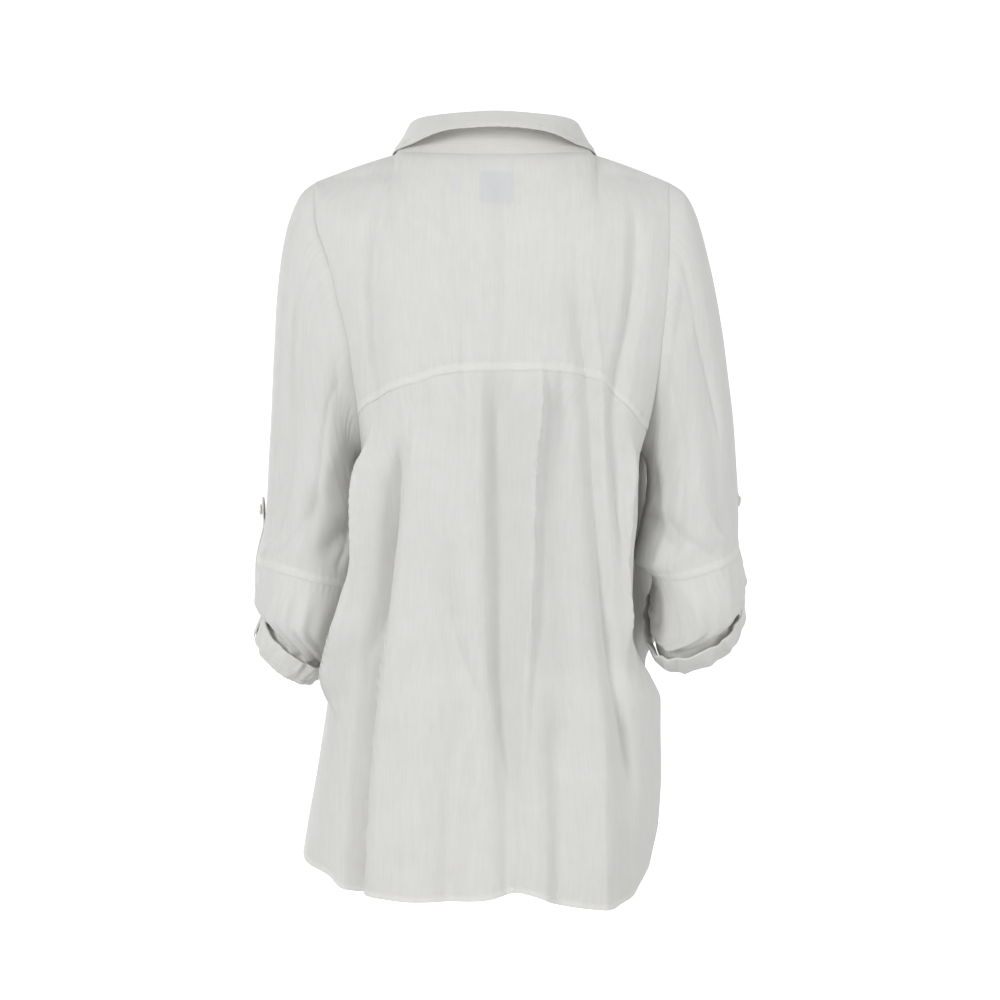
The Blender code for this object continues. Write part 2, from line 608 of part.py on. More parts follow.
def sleeve_grids(side, loop):
    """The rings of the upper and the lower sleeve, with their folds."""
    start = loop_angles(loop, side)
    even = np.array([2.0 * math.pi * i / RING_POINTS for i in range(RING_POINTS)])
    first = Ring(loop[0, 0], loop[0, 2], loop[ARM_ROWS, 0], loop[ARM_ROWS, 2], ARMHOLE_BACK, 0.0, 0.0)
    strain = loop - ring_points(first, start)
    upper = [loop]
    rings = UPPER_RINGS[side]
    for i, ring in enumerate(rings, 1):
        way = i / len(rings)
        angles = start + (even - start) * ease(way)
        upper.append(ring_points(ring, angles) + strain * (1.0 - way) ** 3)
    cuff = CUFF_RINGS[side]
    lower = [upper[-1]] + [ring_points(ring, even) for ring in LOWER_RINGS[side]]
    inside = CUFF_THICK + 0.5 * CUFF_FLARE + 2.0 * SEAM_GAP
    lower.append(ring_points(cuff, even, -inside, -CUFF_HALF_HEIGHT - CUFF_LEAD))
    lower.append(ring_points(cuff, even, -inside - 0.5 * CUFF_FLARE, -CUFF_HALF_HEIGHT))
    lower.append(ring_points(cuff, even, -inside, CUFF_HALF_HEIGHT - LINING_SHORT))
    return fold_sleeve(np.array(upper)), np.array(lower)


def fold_sleeve(grid):
    """Press the folds into an upper sleeve."""
    normals = grid_normals(grid, closed=True)
    centre = grid.mean(axis=1, keepdims=True)
    normals *= np.sign(np.sum(normals * (grid - centre), axis=2, keepdims=True))
    folded = grid.copy()
    rows = grid.shape[0] - 1
    for row in range(1, rows):
        for col in range(RING_POINTS):
            down = row / rows
            around = col / RING_POINTS
            push = 0.0
            for fold in SLEEVE_FOLDS:
                stations = [point[0] for point in fold.path]
                place = smooth(stations, [point[1] for point in fold.path], down)
                near = ease((down - stations[0] + 0.08) / 0.12) * ease((stations[-1] + 0.06 - down) / 0.10)
                push += fold.depth * near * math.exp(-((around - place) / fold.width) ** 2)
            folded[row, col] += normals[row, col] * push
    return folded


def collar_value(name, share):
    """A value of the collar at a share of its half-length."""
    shares = column(COLLAR, "share")
    values = column(COLLAR, name)
    turn = -1.0 if name.endswith("_x") else 1.0
    mirrored = [turn * value for value in values[:0:-1]]
    return smooth([-at for at in shares[:0:-1]] + shares, mirrored + values, share)


def collar_grids(base):
    """The stand and the fall, above the neckline's points."""
    steps = np.linalg.norm(np.diff(base, axis=0), axis=1)
    length = np.concatenate(((0.0,), np.cumsum(steps)))
    middle = length[len(base) // 2]
    shares = (length - middle) / middle
    top, low = [], []
    for share in shares:
        sign = -1.0 if share < 0.0 else 1.0
        size = min(abs(share), 1.0)
        top.append([sign * collar_value("top_x", size), collar_value("top_y", size), collar_value("top_z", size)])
        low.append([sign * collar_value("edge_x", size), collar_value("edge_y", size),
                    collar_value("edge_z", size)])
    top, low = np.array(top), np.array(low)
    stand = np.array([base + (top - base) * way for way in (0.0, 0.5, 1.0)])
    fall = np.array([top + (low - top) * way + np.array((0.0, 0.0, rise)) for way, rise in FALL_SECTION])
    return stand, fall[:, 1:-1]


def shared_normals(grids, outward):
    """One normal for each place, summed over all the panels that meet there."""
    total = {}
    found = {}
    for name, (grid, closed) in grids.items():
        normals = grid_normals(grid, closed) * outward[name]
        found[name] = normals
        for point, normal in zip(grid.reshape(-1, 3), normals.reshape(-1, 3)):
            key = tuple(np.round(point, 6))
            total[key] = total.get(key, 0.0) + normal
    shared = {}
    for name, (grid, _) in grids.items():
        flat = [total[tuple(np.round(point, 6))] for point in grid.reshape(-1, 3)]
        shared[name] = unit(np.array(flat)).reshape(grid.shape)
    return shared


def trim(grid, top=False, bottom=False, first=False, last=False):
    """Draw the edges that meet a neighbour back by half the seam gap."""
    cut = grid.copy()
    half = 0.5 * SEAM_GAP
    if top:
        cut[0] += unit(grid[1] - grid[0]) * half
    if bottom:
        cut[-1] += unit(grid[-2] - grid[-1]) * half
    if first:
        cut[:, 0] += unit(grid[:, 1] - grid[:, 0]) * half
    if last:
        cut[:, -1] += unit(grid[:, -2] - grid[:, -1]) * half
    return cut


def quad_triangles(a, b, c, d, points):
    """Two triangles for a quad, split along its shorter diagonal."""
    if np.linalg.norm(points[a] - points[c]) <= np.linalg.norm(points[b] - points[d]):
        return [(a, b, c), (a, c, d)]
    return [(a, b, d), (b, c, d)]


def wall(name, outer, normals, thickness, material, closed=False):
    """A closed wall between a grid and its copy one thickness in."""
    rows, cols = outer.shape[:2]
    inner = outer - normals * thickness
    points = np.concatenate((outer.reshape(-1, 3), inner.reshape(-1, 3)))
    size = rows * cols
    faces = []
    for row in range(rows - 1):
        for col in range(cols if closed else cols - 1):
            nxt = (col + 1) % cols
            a, b = row * cols + col, row * cols + nxt
            c, d = (row + 1) * cols + nxt, (row + 1) * cols + col
            for face in quad_triangles(a, b, c, d, points):
                faces.append(face)
                faces.append(tuple(size + i for i in reversed(face)))
    if closed:
        loops = [[row * cols + col for col in range(cols)] for row in (0, rows - 1)]
        loops[1].reverse()
    else:
        top = [col for col in range(cols)]
        right = [row * cols + cols - 1 for row in range(1, rows)]
        bottom = [(rows - 1) * cols + col for col in range(cols - 2, -1, -1)]
        left = [row * cols for row in range(rows - 2, 0, -1)]
        loops = [top + right + bottom + left]
    for loop in loops:
        for i, a in enumerate(loop):
            b = loop[(i + 1) % len(loop)]
            faces.extend(quad_triangles(b, a, size + a, size + b, points))
    return solid(name, points, faces, material)


def solid(name, points, faces, material):
    """An object from points and triangles, with its faces pointing out."""
    corners = points[np.array(faces)]
    volume = np.einsum("ij,ij->i", corners[:, 0], np.cross(corners[:, 1], corners[:, 2])).sum()
    if volume < 0.0:
        faces = [tuple(reversed(face)) for face in faces]
    mesh = bpy.data.meshes.new(name)
    mesh.from_pydata([tuple(p) for p in points], [], faces)
    mesh.shade_smooth()
    mesh.set_sharp_from_angle(angle=math.radians(50))
    mesh.materials.append(material)
    piece = bpy.data.objects.new(name, mesh)
    bpy.context.scene.collection.objects.link(piece)
    return piece


def ring_solid(name, rings, material):
    """A closed ring of cloth from loops that go round its section."""
    count, size = len(rings), len(rings[0])
    points = np.concatenate(rings)
    faces = []
    for k in range(count):
        for i in range(size):
            j = (i + 1) % size
            n = (k + 1) % count
            faces.extend(quad_triangles(k * size + i, k * size + j, n * size + j, n * size + i, points))
    return solid(name, points, faces, material)


def cuff_rings(side):
    """The loops of the rolled cuff, round its rounded section."""
    angles = [2.0 * math.pi * i / RING_POINTS for i in range(RING_POINTS)]
    loops = []
    for along, depth, at_lip in CUFF_SECTION:
        place = along * (CUFF_HALF_HEIGHT + (CUFF_LIP if at_lip else 0.0))
        grow = depth * CUFF_THICK - 0.5 * CUFF_FLARE * place / CUFF_HALF_HEIGHT
        loops.append(ring_points(CUFF_RINGS[side], angles, grow, place))
    return loops


def disc(name, centre, normal, material):
    """A button, lying on its place along a normal."""
    normal = unit(np.asarray(normal))
    side = unit(np.cross(normal, (0.0, 0.0, 1.0)))
    up = np.cross(side, normal)
    rings = []
    for height, radius in BUTTON_PROFILE:
        rings.append([centre + normal * BUTTON_THICK * height + BUTTON_RADIUS * radius
                      * (side * math.cos(2 * math.pi * i / BUTTON_SIDES)
                         + up * math.sin(2 * math.pi * i / BUTTON_SIDES)) for i in range(BUTTON_SIDES)])
    points = np.array([p for ring in rings for p in ring])
    faces = []
    for k in range(len(rings) - 1):
        for i in range(BUTTON_SIDES):
            j = (i + 1) % BUTTON_SIDES
            faces.append((k * BUTTON_SIDES + i, k * BUTTON_SIDES + j, (k + 1) * BUTTON_SIDES + j))
            faces.append((k * BUTTON_SIDES + i, (k + 1) * BUTTON_SIDES + j, (k + 1) * BUTTON_SIDES + i))
    last = (len(rings) - 1) * BUTTON_SIDES
    for i in range(1, BUTTON_SIDES - 1):
        faces.append((0, i + 1, i))
        faces.append((last, last + i, last + i + 1))
    return solid(name, points, faces, material)


def material(name, color, roughness):
    """A plain finish."""
    made = bpy.data.materials.new(name)
    made.use_nodes = True
    shader = made.node_tree.nodes["Principled BSDF"]
    shader.inputs["Base Color"].default_value = (*color, 1.0)
    shader.inputs["Roughness"].default_value = roughness
    shader.inputs["Metallic"].default_value = 0.0
    return made


def clear_scene():
    """Remove what the file starts with."""
    for thing in list(bpy.data.objects):
        bpy.data.objects.remove(thing, do_unlink=True)


def body_grids():
    """The grids of all the sewn panels, and which way each one's normals turn."""
    back = fold_panel(plain_back(), BACK_FOLDS, 1.0)
    left = lap_under(fold_panel(plain_front(1), FRONT_FOLDS, -1.0))
    right = fold_panel(plain_front(-1), FRONT_FOLDS, 1.0)
    left_loop = armhole_loop(back[:, -1], left[:, -1])
    right_loop = armhole_loop(back[:, 0], right[:, -1])
    upper_left, lower_left = sleeve_grids("left", left_loop)
    upper_right, lower_right = sleeve_grids("right", right_loop)
    first, last = SHOULDER_COLUMNS, back.shape[1] - SHOULDER_COLUMNS
    across = 2 + FRONT_NECK_COLUMNS
    base = np.concatenate((right[0, :across], back[0, first:last], left[0, :across][::-1]))
    stand, fall = collar_grids(base)
    return {"back": back, "left": left, "right": right, "upper_left": upper_left, "lower_left": lower_left,
            "upper_right": upper_right, "lower_right": lower_right, "stand": stand, "fall": fall}


def outward_signs(grids):
    """For each grid, whether its own normals point out of the shirt."""
    signs = {}
    for name, grid in grids.items():
        closed = name.startswith(("upper", "lower"))
        normals = grid_normals(grid, closed)
        if closed:
            away = grid - grid.mean(axis=1, keepdims=True)
        else:
            away = grid - np.array((0.0, 0.0, grid[..., 2].mean()))
            away[..., 2] = 0.0
        signs[name] = 1.0 if np.sum(normals * away) > 0.0 else -1.0
    return signs


def at_height(grid, normals, col, z):
    """A point of a column at a height, and the normal there."""
    heights = grid[:, col, 2]
    row = int(np.argmax(heights <= z))
    way = (heights[row - 1] - z) / (heights[row - 1] - heights[row])
    point = grid[row - 1, col] * (1.0 - way) + grid[row, col] * way
    return point, unit(normals[row - 1, col] * (1.0 - way) + normals[row, col] * way)


def make_body(grids, normals, linen):
    """The yoke, the back, the fronts and their bands."""
    back, back_n = grids["back"], normals["back"]
    seam = YOKE_ROWS
    wall("yoke", trim(back[:seam + 1], True, True, True, True), back_n[:seam + 1], CLOTH, linen)
    wall("back", trim(back[seam:], True, False, True, True), back_n[seam:], CLOTH, linen)
    for side in ("left", "right"):
        front, front_n = grids[side], normals[side]
        wall("front_" + side, trim(front[:, 2:], True, False, True, True), front_n[:, 2:], CLOTH, linen)
        wall("placket_" + side, trim(front[:, :3], True, False, False, True), front_n[:, :3], BAND, linen)


def make_sleeves(grids, normals, linen):
    """The upper and lower sleeves and their rolled cuffs."""
    for side in ("left", "right"):
        upper, lower = grids["upper_" + side], grids["lower_" + side]
        wall("sleeve_" + side, trim(upper, True, True), normals["upper_" + side], CLOTH, linen, closed=True)
        wall("lower_sleeve_" + side, trim(lower, True), normals["lower_" + side], CLOTH, linen, closed=True)
        ring_solid("cuff_" + side, cuff_rings(side), linen)


def tab_path(side, grids, normals):
    """The tab's middle points, edges and normals, down the sleeve and over the cuff."""
    upper, lower = grids["upper_" + side], grids["lower_" + side]
    upper_n, lower_n = normals["upper_" + side], normals["lower_" + side]
    middle = TAB_COLUMN[side]
    points, outs = [], []
    neighbours = (middle - 1, middle, middle + 1)
    for way, _, lift in TAB_TIP:
        out = upper_n[TAB_ROW, neighbours]
        here = upper[TAB_ROW - 1, neighbours] * way + upper[TAB_ROW, neighbours] * (1.0 - way)
        points.append(here + out * lift)
        outs.append(out)
    for row in range(TAB_ROW, upper.shape[0]):
        points.append(upper[row, neighbours])
        outs.append(upper_n[row, neighbours])
    for row in range(1, len(LOWER_RINGS[side]) + 1):
        points.append(lower[row, neighbours])
        outs.append(lower_n[row, neighbours])
    angles = [2.0 * math.pi * (middle + i) / RING_POINTS for i in (-1, 0, 1)]
    ring = CUFF_RINGS[side]
    high = CUFF_HALF_HEIGHT
    for along, grow in ((-high, 0.5 * CUFF_FLARE), (0.0, 0.0), (high, -0.5 * CUFF_FLARE),
                        (high + TAB_TURN[0], -0.5 * CUFF_FLARE + TAB_TURN[1])):
        here = ring_points(ring, angles, grow, along)
        points.append(here)
        outs.append(unit(ring_points(ring, angles, grow + 0.001, along) - here))
    return points, outs


def make_tab(side, grids, normals, linen, shell):
    """A roll tab and its button, made from the points of the sleeve and the cuff, moved out."""
    points, outs = tab_path(side, grids, normals)
    grid, tops = [], []
    for row, (here, out) in enumerate(zip(points, outs)):
        half = TAB_HALF_WIDTH * (TAB_TIP[row][1] if row < len(TAB_TIP) else 1.0)
        before, after = unit(here[0] - here[1]) * half, unit(here[2] - here[1]) * half
        strip = np.array((here[1] + before, here[1], here[1] + after))
        grid.append(strip + out * (LAY_GAP + TAB_THICK))
        tops.append(out)
    grid, tops = np.array(grid), np.array(tops)
    wall("tab_" + side, grid, tops, TAB_THICK, linen)
    place = 0.5 * (grid[1, 1] + grid[2, 1])
    flat = unit(np.cross(grid[2, 1] - grid[1, 1], grid[1, 2] - grid[1, 0]))
    flat *= np.sign(flat @ tops[1, 1])
    disc("tab_button_" + side, place + flat * LAY_GAP, flat, shell)


def make_collar(grids, normals, linen):
    """The stand and the fall that turns down over it."""
    wall("collar_stand", trim(grids["stand"], True, True), normals["stand"], BAND, linen)
    wall("collar_fall", trim(grids["fall"], True), normals["fall"], BAND, linen)


def make_buttons(grids, normals, shell):
    """The front buttons: one on the stand, one on the open band, the rest fastened."""
    stand, stand_n = grids["stand"], normals["stand"]
    places = [(0.5 * (stand[1, -1] + stand[1, -2]), stand_n[1, -1])]
    places.append(at_height(grids["left"], normals["left"], 1, OPEN_BUTTON_Z))
    for z in BUTTON_HEIGHTS:
        places.append(at_height(grids["right"], normals["right"], 1, z))
    for number, (point, normal) in enumerate(places, 1):
        disc("button_%d" % number, point + normal * LAY_GAP, normal, shell)


def make_labels(grids, normals, tape):
    """Two blank labels on the inside of the yoke."""
    back, back_n = grids["back"], normals["back"]
    middle = back.shape[1] // 2
    for label in LABELS:
        rows, outs = [], []
        for row in label.rows:
            low = int(row)
            way = row - low
            cols = slice(middle + label.first, middle + label.last + 1)
            rows.append(back[low, cols] * (1.0 - way) + back[low + 1, cols] * way)
            outs.append(unit(back_n[low, cols] * (1.0 - way) + back_n[low + 1, cols] * way))
        rows, outs = np.array(rows), np.array(outs)
        wall(label.name, rows - outs * (CLOTH + LAY_GAP), outs, LABEL_THICK, tape)


def build():
    """Make the shirt."""
    clear_scene()
    linen = material("linen", (0.80, 0.79, 0.76), 0.9)
    shell = material("shell_button", (0.85, 0.83, 0.78), 0.35)
    tape = material("label_tape", (0.72, 0.74, 0.78), 0.7)
    grids = body_grids()
    signs = outward_signs(grids)
    signs["fall"] = signs["stand"]
    closed = {name: name.startswith(("upper", "lower")) for name in grids}
    normals = shared_normals({name: (grid, closed[name]) for name, grid in grids.items()}, signs)
    make_body(grids, normals, linen)
    make_sleeves(grids, normals, linen)
    make_collar(grids, normals, linen)
    for side in ("left", "right"):
        make_tab(side, grids, normals, linen, shell)
    make_buttons(grids, normals, shell)
    make_labels(grids, normals, tape)


build()
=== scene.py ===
"""The looks of a worn, hollow linen button-up shirt: thin cloth on the frame's panels, its folds,
seams, stitches, hems, rolled cuffs, tabs and buttons, and a plain pale studio.

Metres, +Z up, the wearer faces -Y and the wearer's left is +X. The photograph shows the back.
"""

from collections import namedtuple
import math

import bpy
import numpy as np
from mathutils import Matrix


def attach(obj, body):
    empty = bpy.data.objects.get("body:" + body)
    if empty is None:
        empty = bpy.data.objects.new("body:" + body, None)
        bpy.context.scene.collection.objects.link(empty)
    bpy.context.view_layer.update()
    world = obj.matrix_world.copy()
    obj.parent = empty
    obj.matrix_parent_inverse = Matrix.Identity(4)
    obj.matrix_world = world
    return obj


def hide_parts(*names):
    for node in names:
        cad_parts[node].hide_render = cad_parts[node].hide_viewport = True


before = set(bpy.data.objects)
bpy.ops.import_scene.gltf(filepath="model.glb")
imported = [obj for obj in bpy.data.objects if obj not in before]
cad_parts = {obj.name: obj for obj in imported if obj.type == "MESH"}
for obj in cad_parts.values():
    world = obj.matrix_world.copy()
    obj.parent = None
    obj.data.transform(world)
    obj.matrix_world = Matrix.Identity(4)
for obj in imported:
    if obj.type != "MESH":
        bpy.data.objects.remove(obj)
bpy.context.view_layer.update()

# Cloth: the thickness of one layer, of the bands and of the tapes here, and that of the solids
CLOTH = 0.0009
BAND = 0.0014
TAPE = 0.0007
CAD_CLOTH = 0.0016
CAD_BAND = 0.0020
SEAM_GAP = 0.0003
LAY_GAP = 0.0005

# The solids' rows and columns, and the steps that each one is cut into here
YOKE_ROWS = 10
UNDERARM_ROWS = 2
BODY_ROWS = 14
ARM_ROWS = YOKE_ROWS + UNDERARM_ROWS
LAST_ROW = ARM_ROWS + BODY_ROWS
NECK_COLUMNS = 11
SHOULDER_COLUMNS = 8
FRONT_NECK_COLUMNS = 4
RING_COLUMNS = 2 * ARM_ROWS
YOKE_STEPS = 7
UNDERARM_STEPS = 11
BODY_STEPS = 9
COLUMN_STEPS = 5
NECK_STEPS = 7
SLEEVE_STEPS = 8
# Closer rows beside a seam or hem, as parts of a row above it, and closer columns at a side edge
SEAM_ROWS = (0.015, 0.04, 0.08, 0.20, 0.30, 0.34, 0.37, 0.39, 0.42, 0.47, 0.55)
HEM_ROWS = (0.015, 0.04, 0.08, 0.13, 0.155, 0.175, 0.19, 0.21, 0.25)
CAP_ROWS = (0.02, 0.05, 0.09)
EDGE_SHARES = (0.003, 0.007, 0.012, 0.018)
BAND_WAYS = (0.0, 0.03, 0.10, 0.20, 0.35, 0.5, 0.65, 0.80, 0.90, 0.97)
STAND_ROWS = 15
FALL_WAYS = np.concatenate((np.linspace(0.0, 0.3, 13), np.linspace(0.32, 0.90, 24),
                            (0.92, 0.94, 0.955, 0.97, 0.98, 0.99, 1.0)))
TAB_WAYS = (0.0, 0.03, 0.08, 0.14, 0.20, 0.35, 0.5, 0.65, 0.80, 0.86, 0.92, 0.97, 1.0)
TAB_STEPS = 7

# Neckline and shoulders
NECK_SHARE = 0.55
NECK_HALF_WIDTH = 0.103
NECK_BACK = 0.070
NECK_BACK_Z = 0.012
NECK_SIDE_Z = 0.021
SHOULDER_TIP_Z = -0.007
SHOULDER_DROOP = 1.15
FRONT_TOP = (0.064, -0.074, -0.022)
FRONT_NECK_BOW = 0.006
FRONT_NECK_BOW_WAY = (0.4, -0.6, -0.3)
V_POINT_Z = -0.140
SHOULDER_ROUND = 0.075
NECK_ROUND = 0.110
# How sharply a panel turns over its upper edge: at the middle of the edge, and how much less at its end
BACK_TURN = (0.85, 0.25)
SHOULDER_TURN = (0.60, 0.10)
FRONT_TURN = (0.9, 0.3)

# Armholes
UNDERARM_Z = {"left": -0.295, "right": -0.290}
ARMHOLE_BACK = 0.066
ARMHOLE_FRONT = -0.062
RIM_REACH = 8

# How a front hangs, and how a fold fades at its ends and its sides, as in the solids
FRONT_SEAM_RISE = 0.020
FRONT_LEAST_SHARE = 0.3
FRONT_SPREAD = 0.05
NECKLINE_LENGTH = 0.100
FOLD_FADE = 0.03
FOLD_TO_HEM_Z = -0.69
FOLD_SIDE_HOLD = 0.10
FOLD_TOP_ROWS = 2.0
FOLD_GIRTH = 0.8
FOLD_BEND = 2.0
CREASE_BEND = 1.3

# How far beyond its ends a sleeve's fold fades out, and over how long, as shares of the rings
SLEEVE_FOLD_START = (0.08, 0.12)
SLEEVE_FOLD_END = (0.06, 0.10)
# How round a sleeve's section is: 1 for an ellipse, less for one drawn out to its corners
SLEEVE_ROUNDNESS = 0.84

# Front bands and buttons
BAND_HALF = 0.0150
LAP_EASE = 0.030
LAP_FLAT = 0.002
V_DROP = 0.0020
V_REACH = 0.040
BUTTON_RADIUS = 0.0057
BUTTON_THICK = 0.0024
BUTTON_HEIGHTS = (-0.160, -0.245, -0.330, -0.415, -0.500, -0.585)
OPEN_BUTTON_Z = -0.075
# A button's rim by height and radius, its dished face and its four holes, as shares of its own size
BUTTON_PROFILE = ((0.0, 0.84), (0.10, 0.95), (0.35, 1.0), (0.70, 1.0), (0.92, 0.96), (1.0, 0.88),
                  (0.97, 0.78), (0.80, 0.68), (0.74, 0.60))
BUTTON_SIDES = 40
BUTTON_SHARP = 40.0
DISH_RADIUS = 0.60
DISH_HEIGHT = 0.74
DISH_POINTS = 21
HOLE_PLACE = 0.30
HOLE_RADIUS = 0.105
HOLE_EDGE = 0.03
HOLE_DEPTH = 0.62
# The thread over a button: how high it lies, its half-width, its rise and how far its ends go in
THREAD_PLACE = 0.80
THREAD_HALF = 0.00035
THREAD_TOP = 0.0004
THREAD_BASE = 0.0003
THREAD_ARCH = 0.0002
THREAD_SINK = 0.0008

# Sleeve ends
CUFF_HALF_HEIGHT = 0.0115
CUFF_THICK = 0.0046
CUFF_FLARE = 0.0045
CUFF_LEAD = 0.006
CUFF_LIP = 0.0012
CUFF_GIRTH = 0.40
LINING_SHORT = 0.003
# The roll's uneven waves, and the lengths of its long and short ones along and across it
CUFF_WAVE = 0.0026
CUFF_LONG = (0.034, 0.016)
CUFF_SHORT = (0.013, 0.020)
# The gathers above the roll, their lengths, and where they begin and end
GATHER = 0.0030
GATHER_LENGTHS = (0.022, 0.11)
GATHER_START = 0.045
GATHER_END = 0.02
TAB_HALF_WIDTH = 0.0105
TAB_THICK = 0.0018
TAB_CLOTH = 0.0014
TAB_ROW = 11
TAB_TIP = ((0.85, 0.30, 0.0035), (0.62, 1.0, 0.0028), (0.30, 1.0, 0.0015))
TAB_COLUMN = {"left": 0, "right": -1}
TAB_TURN = (0.0022, -0.0012)
TAB_EDGE = 0.0004
TAB_EDGE_DROP = 0.0003

# The drape's height on each piece; an uneven wave is the sum of a few plain ones
WAVES = 6
BODY_DRAPE = 0.0009
SLEEVE_DRAPE = 0.0010
LOWER_SLEEVE_DRAPE = 0.0012
FALL_DRAPE = 0.0005
STAND_DRAPE = 0.0003
# The drape's waves: each one's share, and its length across and down the cloth
DRAPE_WAVES = ((0.7, 0.045, 0.20), (0.3, 0.016, 0.06))
# The distances from an edge over which the drape and the rises beside a seam come to their full height
TOP_CALM = 0.02
END_CALM = 0.01
ROLL_CALM = 0.03
SIDE_CALM = 0.020
EDGE_START = 0.004
BAND_START = 0.003
SEAM_START = 0.002
# How far a panel rises beside its seams, and over what distance
SEAM_DIP = 0.0035
BACK_RISE = 0.0003
FRONT_RISE = 0.0005
CAP_RISE = 0.0002
BAND_RISE = 0.0006
BAND_BLEND = 0.0010
# Puckers beside a row of stitches, by reach and height, and the dips along one, by width and depth
PUCKER_LENGTH = 0.0075
PUCKER_SPREAD = 0.02
YOKE_PUCKER = (0.007, 0.0008)
HEM_PUCKER = (0.006, 0.0005)
BAND_PUCKER = (0.004, 0.0002)
ELBOW_PUCKER = (0.008, 0.0006)
BELOW_ELBOW_PUCKER = (0.012, 0.0010)
CUFF_PUCKER = (0.006, 0.0006)
CUFF_PUCKER_AT = 0.0065
TAB_PUCKER = (0.003, 0.00012)
COLLAR_PUCKER = (0.0050, 0.0015)
COLLAR_PUCKER_AT = 0.0050
STITCH_DIP = (0.0011, 0.0005)
BAND_DIP = (0.0009, 0.0004)
CUFF_DIP = (0.0011, 0.0005)
TAB_DIP = (0.0007, 0.0003)
STAND_DIP = (0.0008, 0.0003)
COLLAR_DIP = (0.0012, 0.0007)
# What each random draw starts from; the numbers after it are taken too
BACK_SEED = 11
TAB_SEED = 17
YOKE_SEED = 21
BACK_HEM_SEED = 31
FRONT_HEM_SEED = 33
FRONT_SEED = 41
BAND_SEED = 51
SLEEVE_SEED = {"left": 61, "right": 71}
CUFF_SEED = {"left": 81, "right": 91}
FALL_SEED = 101
FALL_PUCKER_SEED = 103
STAND_SEED = 105
# Folded edges
FELL = 0.0088
FELL_RISE = 0.0004
HEM = 0.0062
HEM_RISE = 0.0006
BAND_HEM_RISE = 0.0004
EDGE_BLEND = 0.0014
TINT_BLEND = 0.0012
# How much closer to the stand the fall's back lies than its solid, and how that fades to its sides
FALL_LIES = 0.0085
FALL_SIDE_X = 0.090
FALL_FADE_X = 0.05
# The collar's row of stitches: the fall's first row that it may cross, and how far from the ends
FALL_LOW_ROW = 14
FALL_ENDS_CLEAR = 0.006

# Stitches, and how far each row lies from its edge
STITCH = 0.0023
STITCH_GAP = 0.0008
STITCH_HALF_WIDTH = 0.00022
STITCH_ENDS = (0.0, 0.2, 0.8, 1.0)
STITCH_TOP = 1.3
STITCH_INSET = 0.0012
SEAM_STITCH = 0.0014
BAND_STITCH = 0.0028
SIDE_STITCH = 0.0062
CUFF_STITCH = 0.0062
CUFF_STITCH_SINK = 0.0010
STAND_STITCH = 0.0020
COLLAR_STITCH = 0.0055
TAB_STITCH = 0.0022
FELL_STITCHES = (SEAM_STITCH, FELL - STITCH_INSET)

# Finishes: the linen's shader, the scales of its threads and how much each one tells in its relief
LINEN = (0.736, 0.733, 0.718)
LINEN_FINISH = {"Sheen Weight": 0.30, "Sheen Roughness": 0.45, "Specular IOR Level": 0.25,
                "Subsurface Weight": 0.35, "Subsurface Radius": (1.0, 0.92, 0.78),
                "Subsurface Scale": 0.0025}
LINEN_ROUGHNESS = 0.88
WARP_SCALE, WARP_TELLS = 620.0, 0.55
WEFT_SCALE, WEFT_TELLS = 560.0, 0.14
BROAD_SCALE, BROAD_TELLS = 150.0, 0.34
MOTTLE_SCALE = 28.0
WEAVE_SCALE, WEAVE_TELLS = 540.0, 0.25
GRAIN_TINT, MOTTLE_TINT = 0.8, 0.25
SLUB_TINT = 0.075
SLUB_WARMTH = 0.985
LIGHT_THREAD = 1.035
THREAD_STRETCH = (1.0, 0.035)
WEFT_STRETCH = (0.05, 1.0)
RELIEF, RELIEF_STRENGTH = 0.0006, 0.55
FOLDED_SHOWS = 0.40
FOLDED_COLOR = (0.830, 0.822, 0.785, 1.0)
# A painted shadow where the tapes lie behind the yoke: the middle's x and z, half the width and height,
# and how much of the painted shadow shows; how soft the edges are, and the shadow's tint
LABEL_SHADOWS = ((-0.003, -0.0235, 0.017, 0.017, 0.33), (0.038, -0.019, 0.005, 0.011, 0.16))
LABEL_SOFT = 0.0020
LABEL_SHADOW_TINT = (0.56, 0.60, 0.66, 1.0)

# The studio: the card's profile by radius and height over the floor, the lights by name, place,
# size and power, and the camera
FLOOR_Z = -0.90
CARD_PROFILE = ((2.0, 0.0), (3.4, 0.0), (3.8, 0.03), (4.2, 0.16), (4.5, 0.42), (4.65, 0.80),
                (4.7, 1.4), (4.7, 4.0))
CARD_SIDES = 64
CARD_COLOR = (0.93, 0.93, 0.93)
CARD_GLOW = 0.62
WORLD_GLOW = 0.58
WHITE = (1.0, 1.0, 1.0, 1.0)
LIGHTS = (("key", (1.7, 2.5, 0.35), 0.9, 37.0), ("fill", (-2.1, 1.7, 0.1), 1.0, 17.0),
          ("front", (1.2, -2.6, 0.2), 1.4, 36.0))
LIGHTS_FACE = (0.0, 0.0, -0.35)
CAMERA_PLACE = (-0.006, 2.6, -0.338)
CAMERA_LENS = 90.0
CAMERA_SENSOR = 36.0

